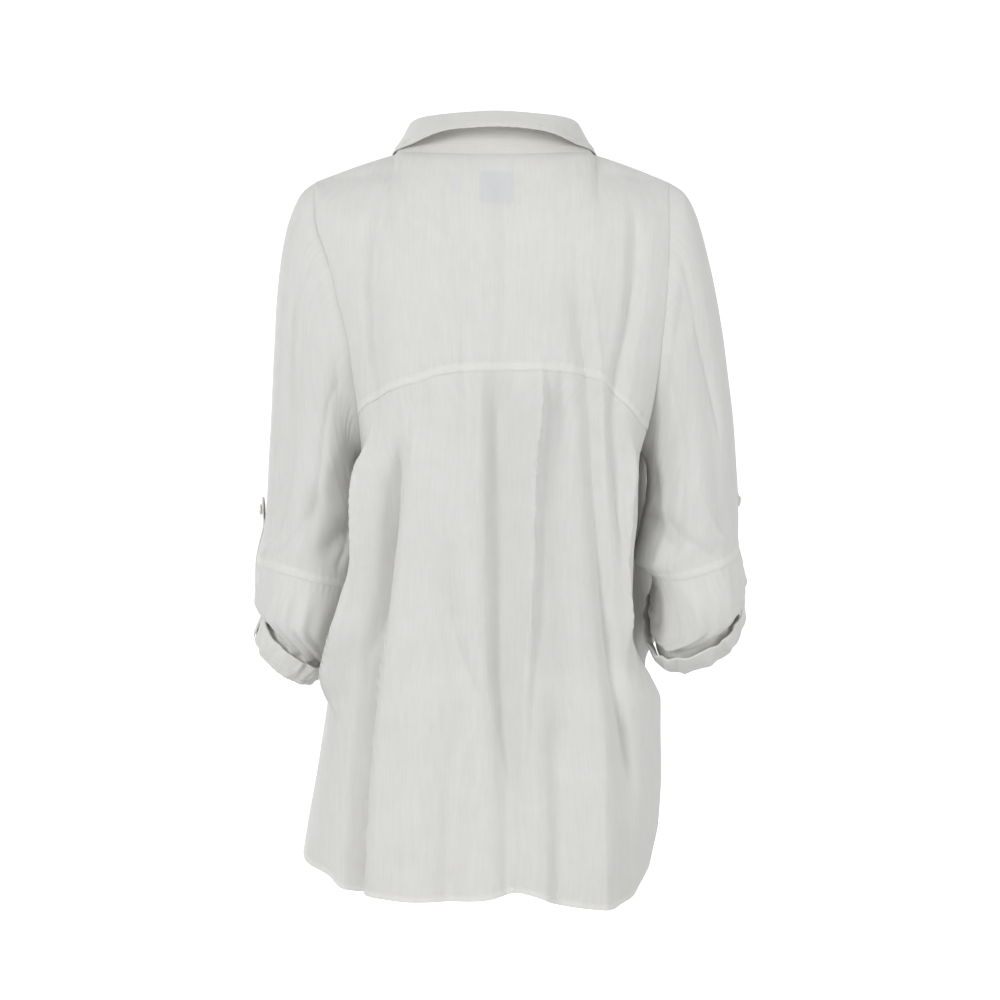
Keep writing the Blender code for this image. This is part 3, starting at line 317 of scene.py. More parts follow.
# One row for each level of the body: the widest half-width on each side, the angle through which
# a panel turns from the middle to its edge, how square its section is (less than 1 is squarer), how
# much of the armhole's depth the cloth beside it keeps, and the depth of the back and of the front
Level = namedtuple("Level", "z left right turn squareness flank back front")
LEVELS = (
    Level(0.030, 0.187, 0.182, 48, 1.00, 1.00, 0.096, -0.085),
    Level(-0.010, 0.185, 0.180, 48, 1.00, 1.00, 0.102, -0.097),
    Level(-0.045, 0.182, 0.179, 49, 1.00, 1.00, 0.107, -0.108),
    Level(-0.082, 0.171, 0.178, 51, 1.00, 1.00, 0.111, -0.118),
    Level(-0.135, 0.159, 0.175, 57, 0.96, 1.00, 0.114, -0.130),
    Level(-0.173, 0.149, 0.171, 63, 0.91, 0.98, 0.115, -0.137),
    Level(-0.217, 0.143, 0.166, 71, 0.90, 0.92, 0.116, -0.142),
    Level(-0.250, 0.139, 0.161, 79, 0.86, 0.82, 0.116, -0.144),
    Level(-0.295, 0.136, 0.150, 89, 0.82, 0.64, 0.116, -0.143),
    Level(-0.330, 0.135, 0.147, 98, 0.80, 0.49, 0.116, -0.141),
    Level(-0.360, 0.133, 0.1455, 105, 0.79, 0.36, 0.117, -0.139),
    Level(-0.394, 0.132, 0.142, 110, 0.79, 0.22, 0.117, -0.137),
    Level(-0.446, 0.142, 0.141, 109, 0.80, 0.07, 0.118, -0.134),
    Level(-0.479, 0.159, 0.143, 103, 0.80, 0.02, 0.119, -0.133),
    Level(-0.500, 0.1655, 0.150, 98, 0.82, 0.00, 0.119, -0.132),
    Level(-0.521, 0.169, 0.162, 95, 0.83, 0.00, 0.120, -0.132),
    Level(-0.545, 0.172, 0.172, 93, 0.84, 0.00, 0.121, -0.131),
    Level(-0.566, 0.175, 0.172, 92, 0.85, 0.00, 0.121, -0.131),
    Level(-0.615, 0.183, 0.173, 90, 0.86, 0.00, 0.123, -0.132),
    Level(-0.671, 0.193, 0.170, 90, 0.87, 0.00, 0.126, -0.134),
    Level(-0.712, 0.198, 0.161, 90, 0.88, 0.00, 0.128, -0.136),
    Level(-0.750, 0.198, 0.152, 90, 0.88, 0.00, 0.129, -0.137),
)

# The seam of the yoke and the hems, by the share of the way from the middle to the side
Edge = namedtuple("Edge", "share yoke hem front_hem")
EDGES = (
    Edge(-1.00, -0.268, -0.702, -0.702),
    Edge(-0.85, -0.262, -0.722, -0.708),
    Edge(-0.70, -0.244, -0.742, -0.714),
    Edge(-0.50, -0.216, -0.747, -0.717),
    Edge(-0.30, -0.210, -0.742, -0.718),
    Edge(-0.10, -0.209, -0.728, -0.718),
    Edge(0.05, -0.209, -0.735, -0.718),
    Edge(0.25, -0.212, -0.737, -0.718),
    Edge(0.45, -0.221, -0.733, -0.717),
    Edge(0.56, -0.226, -0.730, -0.716),
    Edge(0.64, -0.230, -0.717, -0.714),
    Edge(0.80, -0.240, -0.710, -0.708),
    Edge(1.00, -0.2525, -0.702, -0.702),
)

# A fold runs down a panel through (height, x) points; depth is below zero for a valley, and the
# widths are its reach towards the wearer's left and right
Fold = namedtuple("Fold", "name path to_left to_right depth")
BACK_FOLDS = (
    Fold("left overlap", ((-0.290, 0.094), (-0.388, 0.106), (-0.477, 0.117), (-0.549, 0.126),
         (-0.638, 0.134), (-0.740, 0.139)), 0.015, 0.008, -0.012),
    Fold("left overlap lip", ((-0.290, 0.080), (-0.388, 0.089), (-0.477, 0.099), (-0.549, 0.108),
         (-0.638, 0.115), (-0.740, 0.118)), 0.009, 0.024, 0.006),
    Fold("middle valley", ((-0.214, -0.002), (-0.437, -0.006), (-0.513, -0.007), (-0.566, -0.011),
         (-0.638, -0.019), (-0.740, -0.021)), 0.015, 0.017, -0.018),
    Fold("middle ridge", ((-0.214, -0.047), (-0.259, -0.045), (-0.300, -0.041), (-0.430, -0.036),
         (-0.549, -0.034), (-0.685, -0.034), (-0.740, -0.036)), 0.012, 0.022, 0.014),
    Fold("curved fold", ((-0.380, 0.050), (-0.448, 0.044), (-0.495, 0.036), (-0.535, 0.030),
         (-0.640, 0.038), (-0.740, 0.044)), 0.012, 0.012, -0.007),
    Fold("lower left ridge", ((-0.530, 0.074), (-0.640, 0.080), (-0.740, 0.082)), 0.018, 0.018, 0.006),
    Fold("lower right valley", ((-0.560, -0.062), (-0.692, -0.066), (-0.740, -0.066)), 0.012, 0.014,
         -0.008),
    Fold("right crease", ((-0.130, -0.083), (-0.180, -0.089), (-0.216, -0.094), (-0.323, -0.102),
         (-0.402, -0.109), (-0.477, -0.117), (-0.549, -0.126), (-0.620, -0.136)), 0.013, 0.010, -0.008),
    Fold("outer right crease", ((-0.060, -0.145), (-0.151, -0.137), (-0.223, -0.124), (-0.259, -0.121),
         (-0.330, -0.126), (-0.416, -0.133), (-0.500, -0.141)), 0.010, 0.013, -0.006),
    Fold("left side roll", ((-0.310, 0.122), (-0.394, 0.122), (-0.446, 0.132), (-0.500, 0.152),
         (-0.540, 0.160)), 0.014, 0.018, 0.011),
    Fold("right ridge", ((-0.540, -0.100), (-0.620, -0.106), (-0.740, -0.108)), 0.020, 0.022, 0.009),
    Fold("left yoke fold", ((-0.040, 0.118), (-0.087, 0.125), (-0.205, 0.120), (-0.260, 0.116)), 0.014,
         0.016, -0.006),
    Fold("inner yoke fold", ((-0.030, 0.041), (-0.091, 0.039), (-0.169, 0.030), (-0.230, 0.018)), 0.012,
         0.014, -0.004),
    Fold("middle yoke fold", ((0.000, -0.006), (-0.087, -0.010), (-0.190, -0.010)), 0.010, 0.014,
         -0.003),
    Fold("gather", ((-0.214, 0.032), (-0.300, 0.032)), 0.007, 0.007, -0.003),
    Fold("far gather", ((-0.222, 0.070), (-0.290, 0.069)), 0.008, 0.008, -0.003),
    Fold("right gather", ((-0.214, -0.068), (-0.280, -0.067)), 0.007, 0.008, -0.003),
)
FRONT_FOLDS = (
    Fold("left bust fold", ((-0.180, 0.082), (-0.330, 0.078), (-0.520, 0.086), (-0.720, 0.096)), 0.020,
         0.014, -0.009),
    Fold("left inner ridge", ((-0.260, 0.052), (-0.480, 0.054), (-0.720, 0.060)), 0.016, 0.018, 0.006),
    Fold("left side fold", ((-0.300, 0.108), (-0.450, 0.116), (-0.720, 0.142)), 0.012, 0.016, -0.008),
    Fold("left shoulder fold", ((-0.030, 0.138), (-0.120, 0.124), (-0.240, 0.112)), 0.014, 0.012,
         -0.006),
    Fold("right bust fold", ((-0.160, -0.074), (-0.300, -0.082), (-0.540, -0.080), (-0.720, -0.088)),
         0.014, 0.022, -0.010),
    Fold("right inner ridge", ((-0.240, -0.046), (-0.460, -0.050), (-0.720, -0.052)), 0.016, 0.015,
         0.005),
    Fold("right side fold", ((-0.290, -0.112), (-0.470, -0.118), (-0.720, -0.130)), 0.014, 0.014,
         -0.007),
    Fold("left side bulge", ((-0.265, 0.126), (-0.330, 0.124), (-0.400, 0.122), (-0.470, 0.136)), 0.026,
         0.026, 0.022),
    Fold("right side bulge", ((-0.265, -0.142), (-0.330, -0.138), (-0.400, -0.132), (-0.460, -0.134),
         (-0.520, -0.144)), 0.026, 0.026, 0.024),
    Fold("right shoulder fold", ((-0.020, -0.132), (-0.110, -0.126), (-0.230, -0.118)), 0.012, 0.013,
         -0.006),
)

# A sleeve's rings below the armhole: the points on its outer and inner side, half its depth, where
# its middle lies front to back, and how far its back hangs below them
Ring = namedtuple("Ring", "outer_x outer_z inner_x inner_z depth middle drop")
UPPER_RINGS = {
    "left": (
        Ring(0.1990, -0.018, 0.1412, -0.298, 0.066, 0.001, 0.0),
        Ring(0.2080, -0.035, 0.1435, -0.302, 0.067, 0.000, 0.0),
        Ring(0.2155, -0.058, 0.1450, -0.308, 0.068, -0.001, 0.0),
        Ring(0.2212, -0.090, 0.1448, -0.316, 0.069, -0.002, 0.0),
        Ring(0.2252, -0.130, 0.1425, -0.326, 0.070, -0.003, 0.0),
        Ring(0.2275, -0.170, 0.1410, -0.337, 0.071, -0.004, 0.0),
        Ring(0.2295, -0.210, 0.1385, -0.348, 0.072, -0.005, 0.0),
        Ring(0.2315, -0.250, 0.1365, -0.360, 0.073, -0.006, 0.0),
        Ring(0.2340, -0.290, 0.1360, -0.371, 0.073, -0.007, 0.0),
        Ring(0.2360, -0.330, 0.1350, -0.383, 0.074, -0.008, 0.0),
        Ring(0.2390, -0.364, 0.1345, -0.396, 0.075, -0.009, 0.001),
        Ring(0.2440, -0.386, 0.1370, -0.412, 0.076, -0.010, 0.003),
        Ring(0.2465, -0.400, 0.1410, -0.428, 0.076, -0.010, 0.004),
    ),
    "right": (
        Ring(-0.1975, -0.019, -0.1555, -0.294, 0.066, 0.001, 0.0),
        Ring(-0.2075, -0.037, -0.1575, -0.299, 0.067, 0.000, 0.0),
        Ring(-0.2150, -0.060, -0.1590, -0.305, 0.068, -0.001, 0.0),
        Ring(-0.2225, -0.090, -0.1595, -0.313, 0.070, -0.002, 0.0),
        Ring(-0.2305, -0.128, -0.1595, -0.321, 0.071, -0.004, 0.0),
        Ring(-0.2375, -0.170, -0.1590, -0.330, 0.072, -0.006, 0.0),
        Ring(-0.2430, -0.212, -0.1580, -0.339, 0.073, -0.007, 0.001),
        Ring(-0.2483, -0.255, -0.1560, -0.348, 0.074, -0.008, 0.002),
        Ring(-0.2510, -0.292, -0.1540, -0.358, 0.075, -0.009, 0.004),
        Ring(-0.2535, -0.328, -0.1520, -0.371, 0.075, -0.010, 0.006),
        Ring(-0.2542, -0.352, -0.1485, -0.385, 0.076, -0.011, 0.009),
        Ring(-0.2540, -0.370, -0.1455, -0.398, 0.076, -0.012, 0.012),
        Ring(-0.2542, -0.384, -0.1610, -0.408, 0.075, -0.012, 0.019),
    ),
}
LOWER_RINGS = {
    "left": (
        Ring(0.2470, -0.416, 0.1450, -0.444, 0.079, -0.010, 0.007),
        Ring(0.2470, -0.430, 0.1520, -0.458, 0.080, -0.010, 0.012),
        Ring(0.2460, -0.443, 0.1590, -0.472, 0.078, -0.010, 0.016),
    ),
    "right": (
        Ring(-0.2580, -0.400, -0.1660, -0.420, 0.078, -0.013, 0.028),
        Ring(-0.2605, -0.412, -0.1665, -0.432, 0.077, -0.014, 0.036),
        Ring(-0.2615, -0.420, -0.1640, -0.446, 0.070, -0.014, 0.044),
    ),
}
CUFF_RINGS = {
    "left": Ring(0.2445, -0.465, 0.1755, -0.511, 0.065, -0.010, 0.020),
    "right": Ring(-0.2615, -0.442, -0.1590, -0.478, 0.053, -0.014, 0.045),
}

# A sleeve's folds run through (share of the rings, share of the way round) points, from the outer
# side over the back; depth is below zero for a valley
SleeveFold = namedtuple("SleeveFold", "name path width depth")
SLEEVE_FOLDS = (
    SleeveFold("back hollow", ((0.10, 0.20), (0.45, 0.17), (0.85, 0.14)), 0.055, -0.005),
    SleeveFold("back ridge", ((0.20, 0.30), (0.55, 0.27), (0.90, 0.23)), 0.050, 0.004),
    SleeveFold("front hollow", ((0.12, 0.80), (0.50, 0.82), (0.88, 0.86)), 0.055, -0.005),
    SleeveFold("elbow crease", ((0.66, 0.42), (0.86, 0.30)), 0.040, -0.006),
    SleeveFold("front elbow crease", ((0.62, 0.58), (0.84, 0.70)), 0.040, -0.006),
)

# The collar by the share of its half-length from the middle of the back: the top of the stand and
# the lower edge of the fall
Collar = namedtuple("Collar", "share top_x top_y top_z edge_x edge_y edge_z")
COLLAR = (
    Collar(0.00, 0.000, 0.058, 0.052, 0.000, 0.089, 0.030),
    Collar(0.25, 0.048, 0.046, 0.051, 0.060, 0.071, 0.0275),
    Collar(0.45, 0.077, 0.025, 0.050, 0.089, 0.040, 0.0245),
    Collar(0.60, 0.085, 0.000, 0.047, 0.1030, 0.003, 0.0235),
    Collar(0.75, 0.081, -0.026, 0.036, 0.109, -0.036, 0.012),
    Collar(0.90, 0.067, -0.052, 0.018, 0.107, -0.070, -0.020),
    Collar(1.00, 0.057, -0.066, 0.007, 0.098, -0.094, -0.053),
)
# The fall's section: the share of the way from the stand's top to the edge, and the rise over it
FALL_SECTION = ((0.0, 0.0), (0.03, 0.0036), (0.12, 0.0062), (0.24, 0.0058), (0.42, 0.0042), (0.70, 0.0020),
                (1.0, 0.0))

# The labels: the columns from the middle of the back that they span, and the rows they lie on
Label = namedtuple("Label", "name first last rows")
LABELS = (
    Label("neck_label", -2, 1, (1.0, 1.5, 2.0, 2.5)),
    Label("size_label", 3, 4, (1.0, 1.5, 2.0)),
)

# The rolled cuff's rounded section: how far along the sleeve and how far in, as shares of its half
# height and its thickness, and whether it is at the lip past the band's edge
CUFF_SECTION = ((-1.0, -0.75, False), (-1.0, -0.50, True), (-1.0, -0.20, False), (-0.3, 0.0, False),
                (0.6, 0.0, False), (1.0, -0.20, False), (1.0, -0.50, True), (1.0, -0.80, False),
                (0.0, -1.0, False))

# Creases that are too fine for the solids. A crease runs like a fold, and its valley has a narrow floor.
BACK_CREASES = (
    Fold("left edge of the panel", ((-0.300, 0.098), (-0.388, 0.107), (-0.477, 0.118), (-0.549, 0.127),
         (-0.638, 0.134), (-0.740, 0.139)), 0.0032, 0.0050, -0.0042),
    Fold("neck crease", ((-0.040, 0.041), (-0.087, 0.039), (-0.166, 0.030), (-0.205, 0.016)), 0.004,
         0.007, -0.0016),
    Fold("middle crease", ((-0.008, -0.006), (-0.087, -0.010), (-0.185, -0.010)), 0.005, 0.004, -0.0012),
    Fold("left yoke crease", ((-0.040, 0.119), (-0.087, 0.126), (-0.116, 0.128), (-0.205, 0.124)), 0.005,
         0.009, -0.0022),
    Fold("right yoke crease", ((-0.100, -0.082), (-0.180, -0.090), (-0.260, -0.099), (-0.323, -0.102),
         (-0.402, -0.109), (-0.477, -0.117), (-0.549, -0.127), (-0.609, -0.138)), 0.0050, 0.0035,
         -0.0024),
    Fold("right yoke ridge", ((-0.110, -0.096), (-0.223, -0.108), (-0.330, -0.112), (-0.430, -0.120)),
         0.005, 0.004, 0.0016),
    Fold("outer crease", ((-0.051, -0.145), (-0.082, -0.147), (-0.151, -0.135), (-0.223, -0.120),
         (-0.259, -0.115), (-0.330, -0.122), (-0.416, -0.135), (-0.527, -0.153)), 0.0045, 0.0060,
         -0.0018),
    Fold("gather one", ((-0.212, 0.032), (-0.262, 0.029), (-0.300, 0.030)), 0.0030, 0.0030, -0.0014),
    Fold("gather two", ((-0.212, 0.018), (-0.250, 0.019), (-0.330, 0.024)), 0.0030, 0.0045, -0.0014),
    Fold("gather three", ((-0.212, -0.030), (-0.246, -0.029)), 0.0030, 0.0030, -0.0009),
    Fold("gather four", ((-0.214, -0.066), (-0.262, -0.067)), 0.0035, 0.0030, -0.0012),
    Fold("gather five", ((-0.220, 0.058), (-0.274, 0.060)), 0.0030, 0.0035, -0.0010),
    Fold("gather six", ((-0.228, 0.084), (-0.300, 0.086)), 0.0035, 0.0035, -0.0011),
    Fold("valley left rim", ((-0.214, 0.012), (-0.350, 0.012), (-0.470, 0.011), (-0.555, 0.004),
         (-0.640, -0.005), (-0.740, -0.008)), 0.0060, 0.0050, 0.0018),
    Fold("strip edge", ((-0.214, -0.047), (-0.259, -0.046), (-0.295, -0.040), (-0.437, -0.035),
         (-0.549, -0.024), (-0.685, -0.019), (-0.740, -0.018)), 0.0060, 0.0024, 0.0048),
    Fold("left roll", ((-0.285, 0.124), (-0.340, 0.123), (-0.394, 0.122), (-0.446, 0.132),
         (-0.490, 0.148), (-0.540, 0.158)), 0.0100, 0.0090, 0.0190),
    Fold("left roll's valley", ((-0.330, 0.106), (-0.394, 0.106), (-0.446, 0.114), (-0.500, 0.131)),
         0.0060, 0.0060, -0.0030),
    Fold("right roll", ((-0.290, -0.138), (-0.360, -0.133), (-0.420, -0.132), (-0.480, -0.134)), 0.0080,
         0.0100, 0.0130),
    Fold("strip wall's foot", ((-0.225, -0.006), (-0.437, -0.009), (-0.513, -0.010), (-0.566, -0.013),
         (-0.640, -0.016), (-0.740, -0.016)), 0.0050, 0.0260, -0.0020),
    Fold("strip wall's top", ((-0.225, -0.046), (-0.295, -0.041), (-0.437, -0.038), (-0.549, -0.031),
         (-0.640, -0.028), (-0.740, -0.028)), 0.0260, 0.0040, 0.0050),
    Fold("behind the strip", ((-0.225, -0.055), (-0.300, -0.050), (-0.437, -0.045), (-0.549, -0.036),
         (-0.640, -0.031), (-0.740, -0.030)), 0.0060, 0.0240, -0.0060),
    Fold("valley floor", ((-0.240, -0.002), (-0.437, -0.005), (-0.513, -0.006), (-0.566, -0.010),
         (-0.640, -0.018)), 0.0100, 0.0060, -0.0020),
    Fold("curved fold line", ((-0.400, 0.046), (-0.448, 0.043), (-0.495, 0.030), (-0.535, 0.012),
         (-0.566, -0.002)), 0.0050, 0.0035, -0.0028),
    Fold("low left line", ((-0.590, 0.044), (-0.660, 0.047), (-0.740, 0.050)), 0.0070, 0.0050, -0.0026),
    Fold("low right line", ((-0.566, -0.045), (-0.640, -0.047), (-0.692, -0.046)), 0.0060, 0.0050,
         -0.0024),
    Fold("hem ridge", ((-0.575, -0.106), (-0.640, -0.106), (-0.740, -0.107)), 0.0040, 0.0050, 0.0016),
    Fold("side hollow", ((-0.380, 0.146), (-0.480, 0.160), (-0.600, 0.170)), 0.0050, 0.0060, -0.0020),
)
FRONT_CREASES = (
    Fold("left bust crease", ((-0.170, 0.082), (-0.330, 0.077), (-0.520, 0.085), (-0.720, 0.095)),
         0.0045, 0.0035, -0.0026),
    Fold("left pouch", ((-0.285, 0.126), (-0.340, 0.126), (-0.400, 0.126), (-0.450, 0.132)), 0.024,
         0.024, 0.011),
    Fold("right pouch", ((-0.330, -0.134), (-0.390, -0.135), (-0.440, -0.137), (-0.500, -0.144)), 0.026,
         0.024, 0.017),
    Fold("left gather", ((-0.110, 0.098), (-0.210, 0.088), (-0.300, 0.092)), 0.0040, 0.0045, -0.0016),
    Fold("left side crease", ((-0.300, 0.108), (-0.450, 0.115), (-0.720, 0.141)), 0.0040, 0.0050,
         -0.0026),
    Fold("left low line", ((-0.420, 0.030), (-0.560, 0.034), (-0.720, 0.036)), 0.0050, 0.0040, -0.0014),
    Fold("left shoulder crease", ((-0.030, 0.139), (-0.120, 0.125), (-0.240, 0.113)), 0.0040, 0.0035,
         -0.0022),
    Fold("left inner ridge line", ((-0.250, 0.050), (-0.480, 0.053), (-0.720, 0.058)), 0.0035, 0.0040,
         0.0016),
    Fold("right bust crease", ((-0.150, -0.073), (-0.300, -0.082), (-0.540, -0.081), (-0.720, -0.089)),
         0.0035, 0.0045, -0.0028),
    Fold("right gather", ((-0.100, -0.104), (-0.190, -0.096), (-0.290, -0.098)), 0.0040, 0.0040,
         -0.0015),
    Fold("right side crease", ((-0.290, -0.113), (-0.470, -0.119), (-0.720, -0.131)), 0.0050, 0.0035,
         -0.0024),
    Fold("right low line", ((-0.380, -0.030), (-0.520, -0.034), (-0.720, -0.034)), 0.0045, 0.0050,
         -0.0014),
    Fold("right shoulder crease", ((-0.020, -0.133), (-0.110, -0.127), (-0.230, -0.119)), 0.0035, 0.0045,
         -0.0022),
)
# Sleeve creases by (share of the rings, share of the way round) from the outer side over the back
SLEEVE_CREASES = {
    "left": (
        SleeveFold("cap line", ((0.04, 0.16), (0.30, 0.13), (0.55, 0.15)), 0.014, -0.0026),
        SleeveFold("back line", ((0.18, 0.33), (0.48, 0.28), (0.80, 0.25)), 0.012, -0.0024),
        SleeveFold("elbow fold", ((0.70, 0.27), (0.82, 0.22), (0.93, 0.14)), 0.020, -0.0034),
        SleeveFold("elbow ridge", ((0.66, 0.20), (0.80, 0.17), (0.95, 0.09)), 0.014, 0.0022),
        SleeveFold("inner fold", ((0.42, 0.41), (0.70, 0.40), (0.90, 0.34)), 0.012, -0.0028),
        SleeveFold("front line", ((0.16, 0.71), (0.52, 0.76), (0.84, 0.80)), 0.014, -0.0026),
        SleeveFold("front elbow fold", ((0.62, 0.62), (0.86, 0.73)), 0.016, -0.0030),
    ),
    "right": (
        SleeveFold("cap line", ((0.05, 0.13), (0.36, 0.16), (0.60, 0.13)), 0.012, -0.0028),
        SleeveFold("back line", ((0.22, 0.29), (0.52, 0.26), (0.86, 0.29)), 0.013, -0.0026),
        SleeveFold("elbow fold", ((0.74, 0.33), (0.86, 0.25), (0.95, 0.20)), 0.018, -0.0034),
        SleeveFold("elbow ridge", ((0.70, 0.24), (0.84, 0.18), (0.95, 0.11)), 0.014, 0.0020),
        SleeveFold("inner fold", ((0.38, 0.42), (0.66, 0.38), (0.92, 0.37)), 0.012, -0.0028),
        SleeveFold("front line", ((0.14, 0.74), (0.48, 0.78), (0.88, 0.83)), 0.014, -0.0028),
        SleeveFold("front elbow fold", ((0.66, 0.60), (0.84, 0.68)), 0.016, -0.0028),
    ),
}


def hermite(t, start, end, leaving, arriving):
    """A cubic between two values, which leaves the one and reaches the other at given slopes."""
    return ((2 * t ** 3 - 3 * t ** 2 + 1) * start + (t ** 3 - 2 * t ** 2 + t) * leaving
            + (3 * t ** 2 - 2 * t ** 3) * end + (t ** 3 - t ** 2) * arriving)


def smooth(stations, values, at):
    """Read a smooth curve through the values that never passes beyond them."""
    x = np.asarray(stations, float)
    y = np.asarray(values, float)
    if x[0] > x[-1]:
        x, y = x[::-1], y[::-1]
    step = np.diff(x)
    slope = np.diff(y) / step
    tangent = np.zeros_like(y)
    for i in range(1, len(x) - 1):
        if slope[i - 1] * slope[i] > 0.0:
            before = 2.0 * step[i] + step[i - 1]
            after = step[i] + 2.0 * step[i - 1]
            tangent[i] = (before + after) / (before / slope[i - 1] + after / slope[i])
    tangent[0], tangent[-1] = slope[0], slope[-1]
    at = np.clip(at, x[0], x[-1])
    i = np.clip(np.searchsorted(x, at, side="right") - 1, 0, len(step) - 1)
    return hermite((at - x[i]) / step[i], y[i], y[i + 1], step[i] * tangent[i], step[i] * tangent[i + 1])


def smooth_row(stations, values, at):
    """A row of values between the given rows, on a curve through the two beside it."""
    x = np.asarray(stations, float)
    i = int(np.clip(np.searchsorted(x, at, side="right") - 1, 0, len(x) - 2))
    step = x[i + 1] - x[i]
    chord = (values[i + 1] - values[i]) / step
    before = (values[i + 1] - values[i - 1]) / (x[i + 1] - x[i - 1]) if i > 0 else chord
    after = (values[i + 2] - values[i]) / (x[i + 2] - x[i]) if i + 2 < len(x) else chord
    return hermite((at - x[i]) / step, values[i], values[i + 1], step * before, step * after)


def through(lines, steps):
    """Lines of points between the given ones, on smooth curves, each gap cut into steps."""
    flat = np.array(lines).reshape(len(lines), -1)
    places = cut(0, len(lines) - 1, steps)
    found = np.array([smooth_row(range(len(lines)), flat, place) for place in places])
    return found.reshape((len(places),) + np.shape(lines[0]))


def column(rows, name):
    """One named column of a table."""
    return [getattr(row, name) for row in rows]


def ease(share):
    """Go from 0 to 1 with no jerk at either end."""
    share = np.clip(share, 0.0, 1.0)
    return share * share * (3.0 - 2.0 * share)


def unit(vectors):
    """Vectors of length one."""
    length = np.linalg.norm(vectors, axis=-1, keepdims=True)
    return vectors / np.maximum(length, 1e-12)


def cut(first, last, steps):
    """Values from first to last, each whole one cut into steps."""
    return list(np.linspace(first, last, int(round((last - first) * steps)) + 1))


def merged(values):
    """Values in order, each one once."""
    return np.array(sorted({round(float(value), 5) for value in values}))


def from_end(values, axis=0):
    """How far values along an axis are below the last one there."""
    return np.take(values, [-1], axis=axis) - values


def from_start(values):
    """How far values along the rows are from the first one there."""
    return np.abs(values - values[:, :1])


def level(name, z):
    """A value of the body at a height."""
    return smooth(column(LEVELS, "z"), column(LEVELS, name), z)


def by_side(share, left, right):
    """The value for the wearer's side that a share of the width lies on."""
    return np.where(np.asarray(share) >= 0.0, left, right)


def width_at(share, z):
    """The body's widest half-width at a height, on a share's side."""
    return by_side(share, level("left", z), level("right", z))


def underarm(share):
    """The height of the underarm on a share's side."""
    return by_side(share, UNDERARM_Z["left"], UNDERARM_Z["right"])


def edge(name, share):
    """The height of a seam or hem at a share of the way to the side."""
    return smooth(column(EDGES, "share"), column(EDGES, name), share)


def body_point(share, z, face):
    """A point of the body's plain form, by its share of the way from the middle to the side."""
    turn = np.radians(level("turn", z))
    deepest = level(face, z)
    deepest_rim = ARMHOLE_BACK if face == "back" else ARMHOLE_FRONT
    under = underarm(share)
    way = np.clip((SHOULDER_TIP_Z - z) / (SHOULDER_TIP_Z - under), 0.0, 1.0)
    rim = deepest_rim * np.sqrt(np.maximum(0.0, 1.0 - (2.0 * way - 1.0) ** 2))
    flank = deepest_rim * level("flank", z)
    reached = flank + (rim - flank) * np.abs(share) ** RIM_REACH
    rim = np.where(z < 0.5 * (SHOULDER_TIP_Z + under), reached, rim)
    x = width_at(share, z) * np.sin(turn * share) / np.sin(np.minimum(turn, math.pi / 2))
    bow = np.maximum(0.0, (np.cos(turn * share) - np.cos(turn)) / (1.0 - np.cos(turn)))
    y = rim + (deepest - rim) * bow ** level("squareness", z)
    return x, y


def share_at(x, z):
    """The share of the way to the side where the body's plain form has a given x."""
    turn = np.radians(level("turn", z))
    sine = np.clip(x * np.sin(np.minimum(turn, math.pi / 2)) / width_at(x, z), -0.999, 0.999)
    return np.arcsin(sine) / turn


def shoulder_point(share):
    """A point of the shoulder seam, from the side of the neck to the tip of the shoulder."""
    way = (abs(share) - NECK_SHARE) / (1.0 - NECK_SHARE)
    tip = float(width_at(share, SHOULDER_TIP_Z))
    x = NECK_HALF_WIDTH + (tip - NECK_HALF_WIDTH) * way
    z = NECK_SIDE_Z + (SHOULDER_TIP_Z - NECK_SIDE_Z) * max(way, 0.0) ** SHOULDER_DROOP
    return np.array((math.copysign(x, share), 0.0, z))


def back_top(share):
    """The upper edge of the yoke: the back of the neckline and the shoulder seams."""
    if abs(share) > NECK_SHARE:
        return shoulder_point(share)
    angle = 0.5 * math.pi * share / NECK_SHARE
    rise = NECK_SIDE_Z - NECK_BACK_Z
    return np.array((NECK_HALF_WIDTH * math.sin(angle), NECK_BACK * math.cos(angle),
                     NECK_BACK_Z + rise * math.sin(angle) ** 2))


def front_neck(way, sign):
    """The front of the neckline, from its open end to the side of the neck."""
    end = np.array(FRONT_TOP)
    side = np.array((NECK_HALF_WIDTH, 0.0, NECK_SIDE_Z))
    bow = FRONT_NECK_BOW * math.sin(math.pi * way)
    point = end + (side - end) * way + bow * np.array(FRONT_NECK_BOW_WAY)
    point[0] *= sign
    return point


def round_over(below, reach, sharpness):
    """How much of its depth a panel has reached at a distance below its upper edge."""
    if reach <= 1e-6:
        return np.ones_like(below)
    way = np.clip(below / reach, 0.0, 1.0)
    return (1.0 - (1.0 - way) ** 2) ** sharpness


def turn_at(turn, way):
    """How sharply a panel turns over at a way along its upper edge."""
    return turn[0] - turn[1] * way


def shoulder_reach(way):
    """How a column that starts on the shoulder seam turns from its upper edge to its full depth."""
    reach = NECK_ROUND + (SHOULDER_ROUND - NECK_ROUND) * ease(2.5 * way)
    return reach * (1.0 - way ** 5), turn_at(SHOULDER_TURN, way)


ROWS = merged(cut(0, YOKE_ROWS, YOKE_STEPS) + cut(YOKE_ROWS, ARM_ROWS, UNDERARM_STEPS)
              + cut(ARM_ROWS, LAST_ROW, BODY_STEPS) + [YOKE_ROWS - part for part in SEAM_ROWS]
              + [LAST_ROW - part for part in HEM_ROWS])
SEAM = int(np.searchsorted(ROWS, YOKE_ROWS))
ARM = int(np.searchsorted(ROWS, ARM_ROWS))


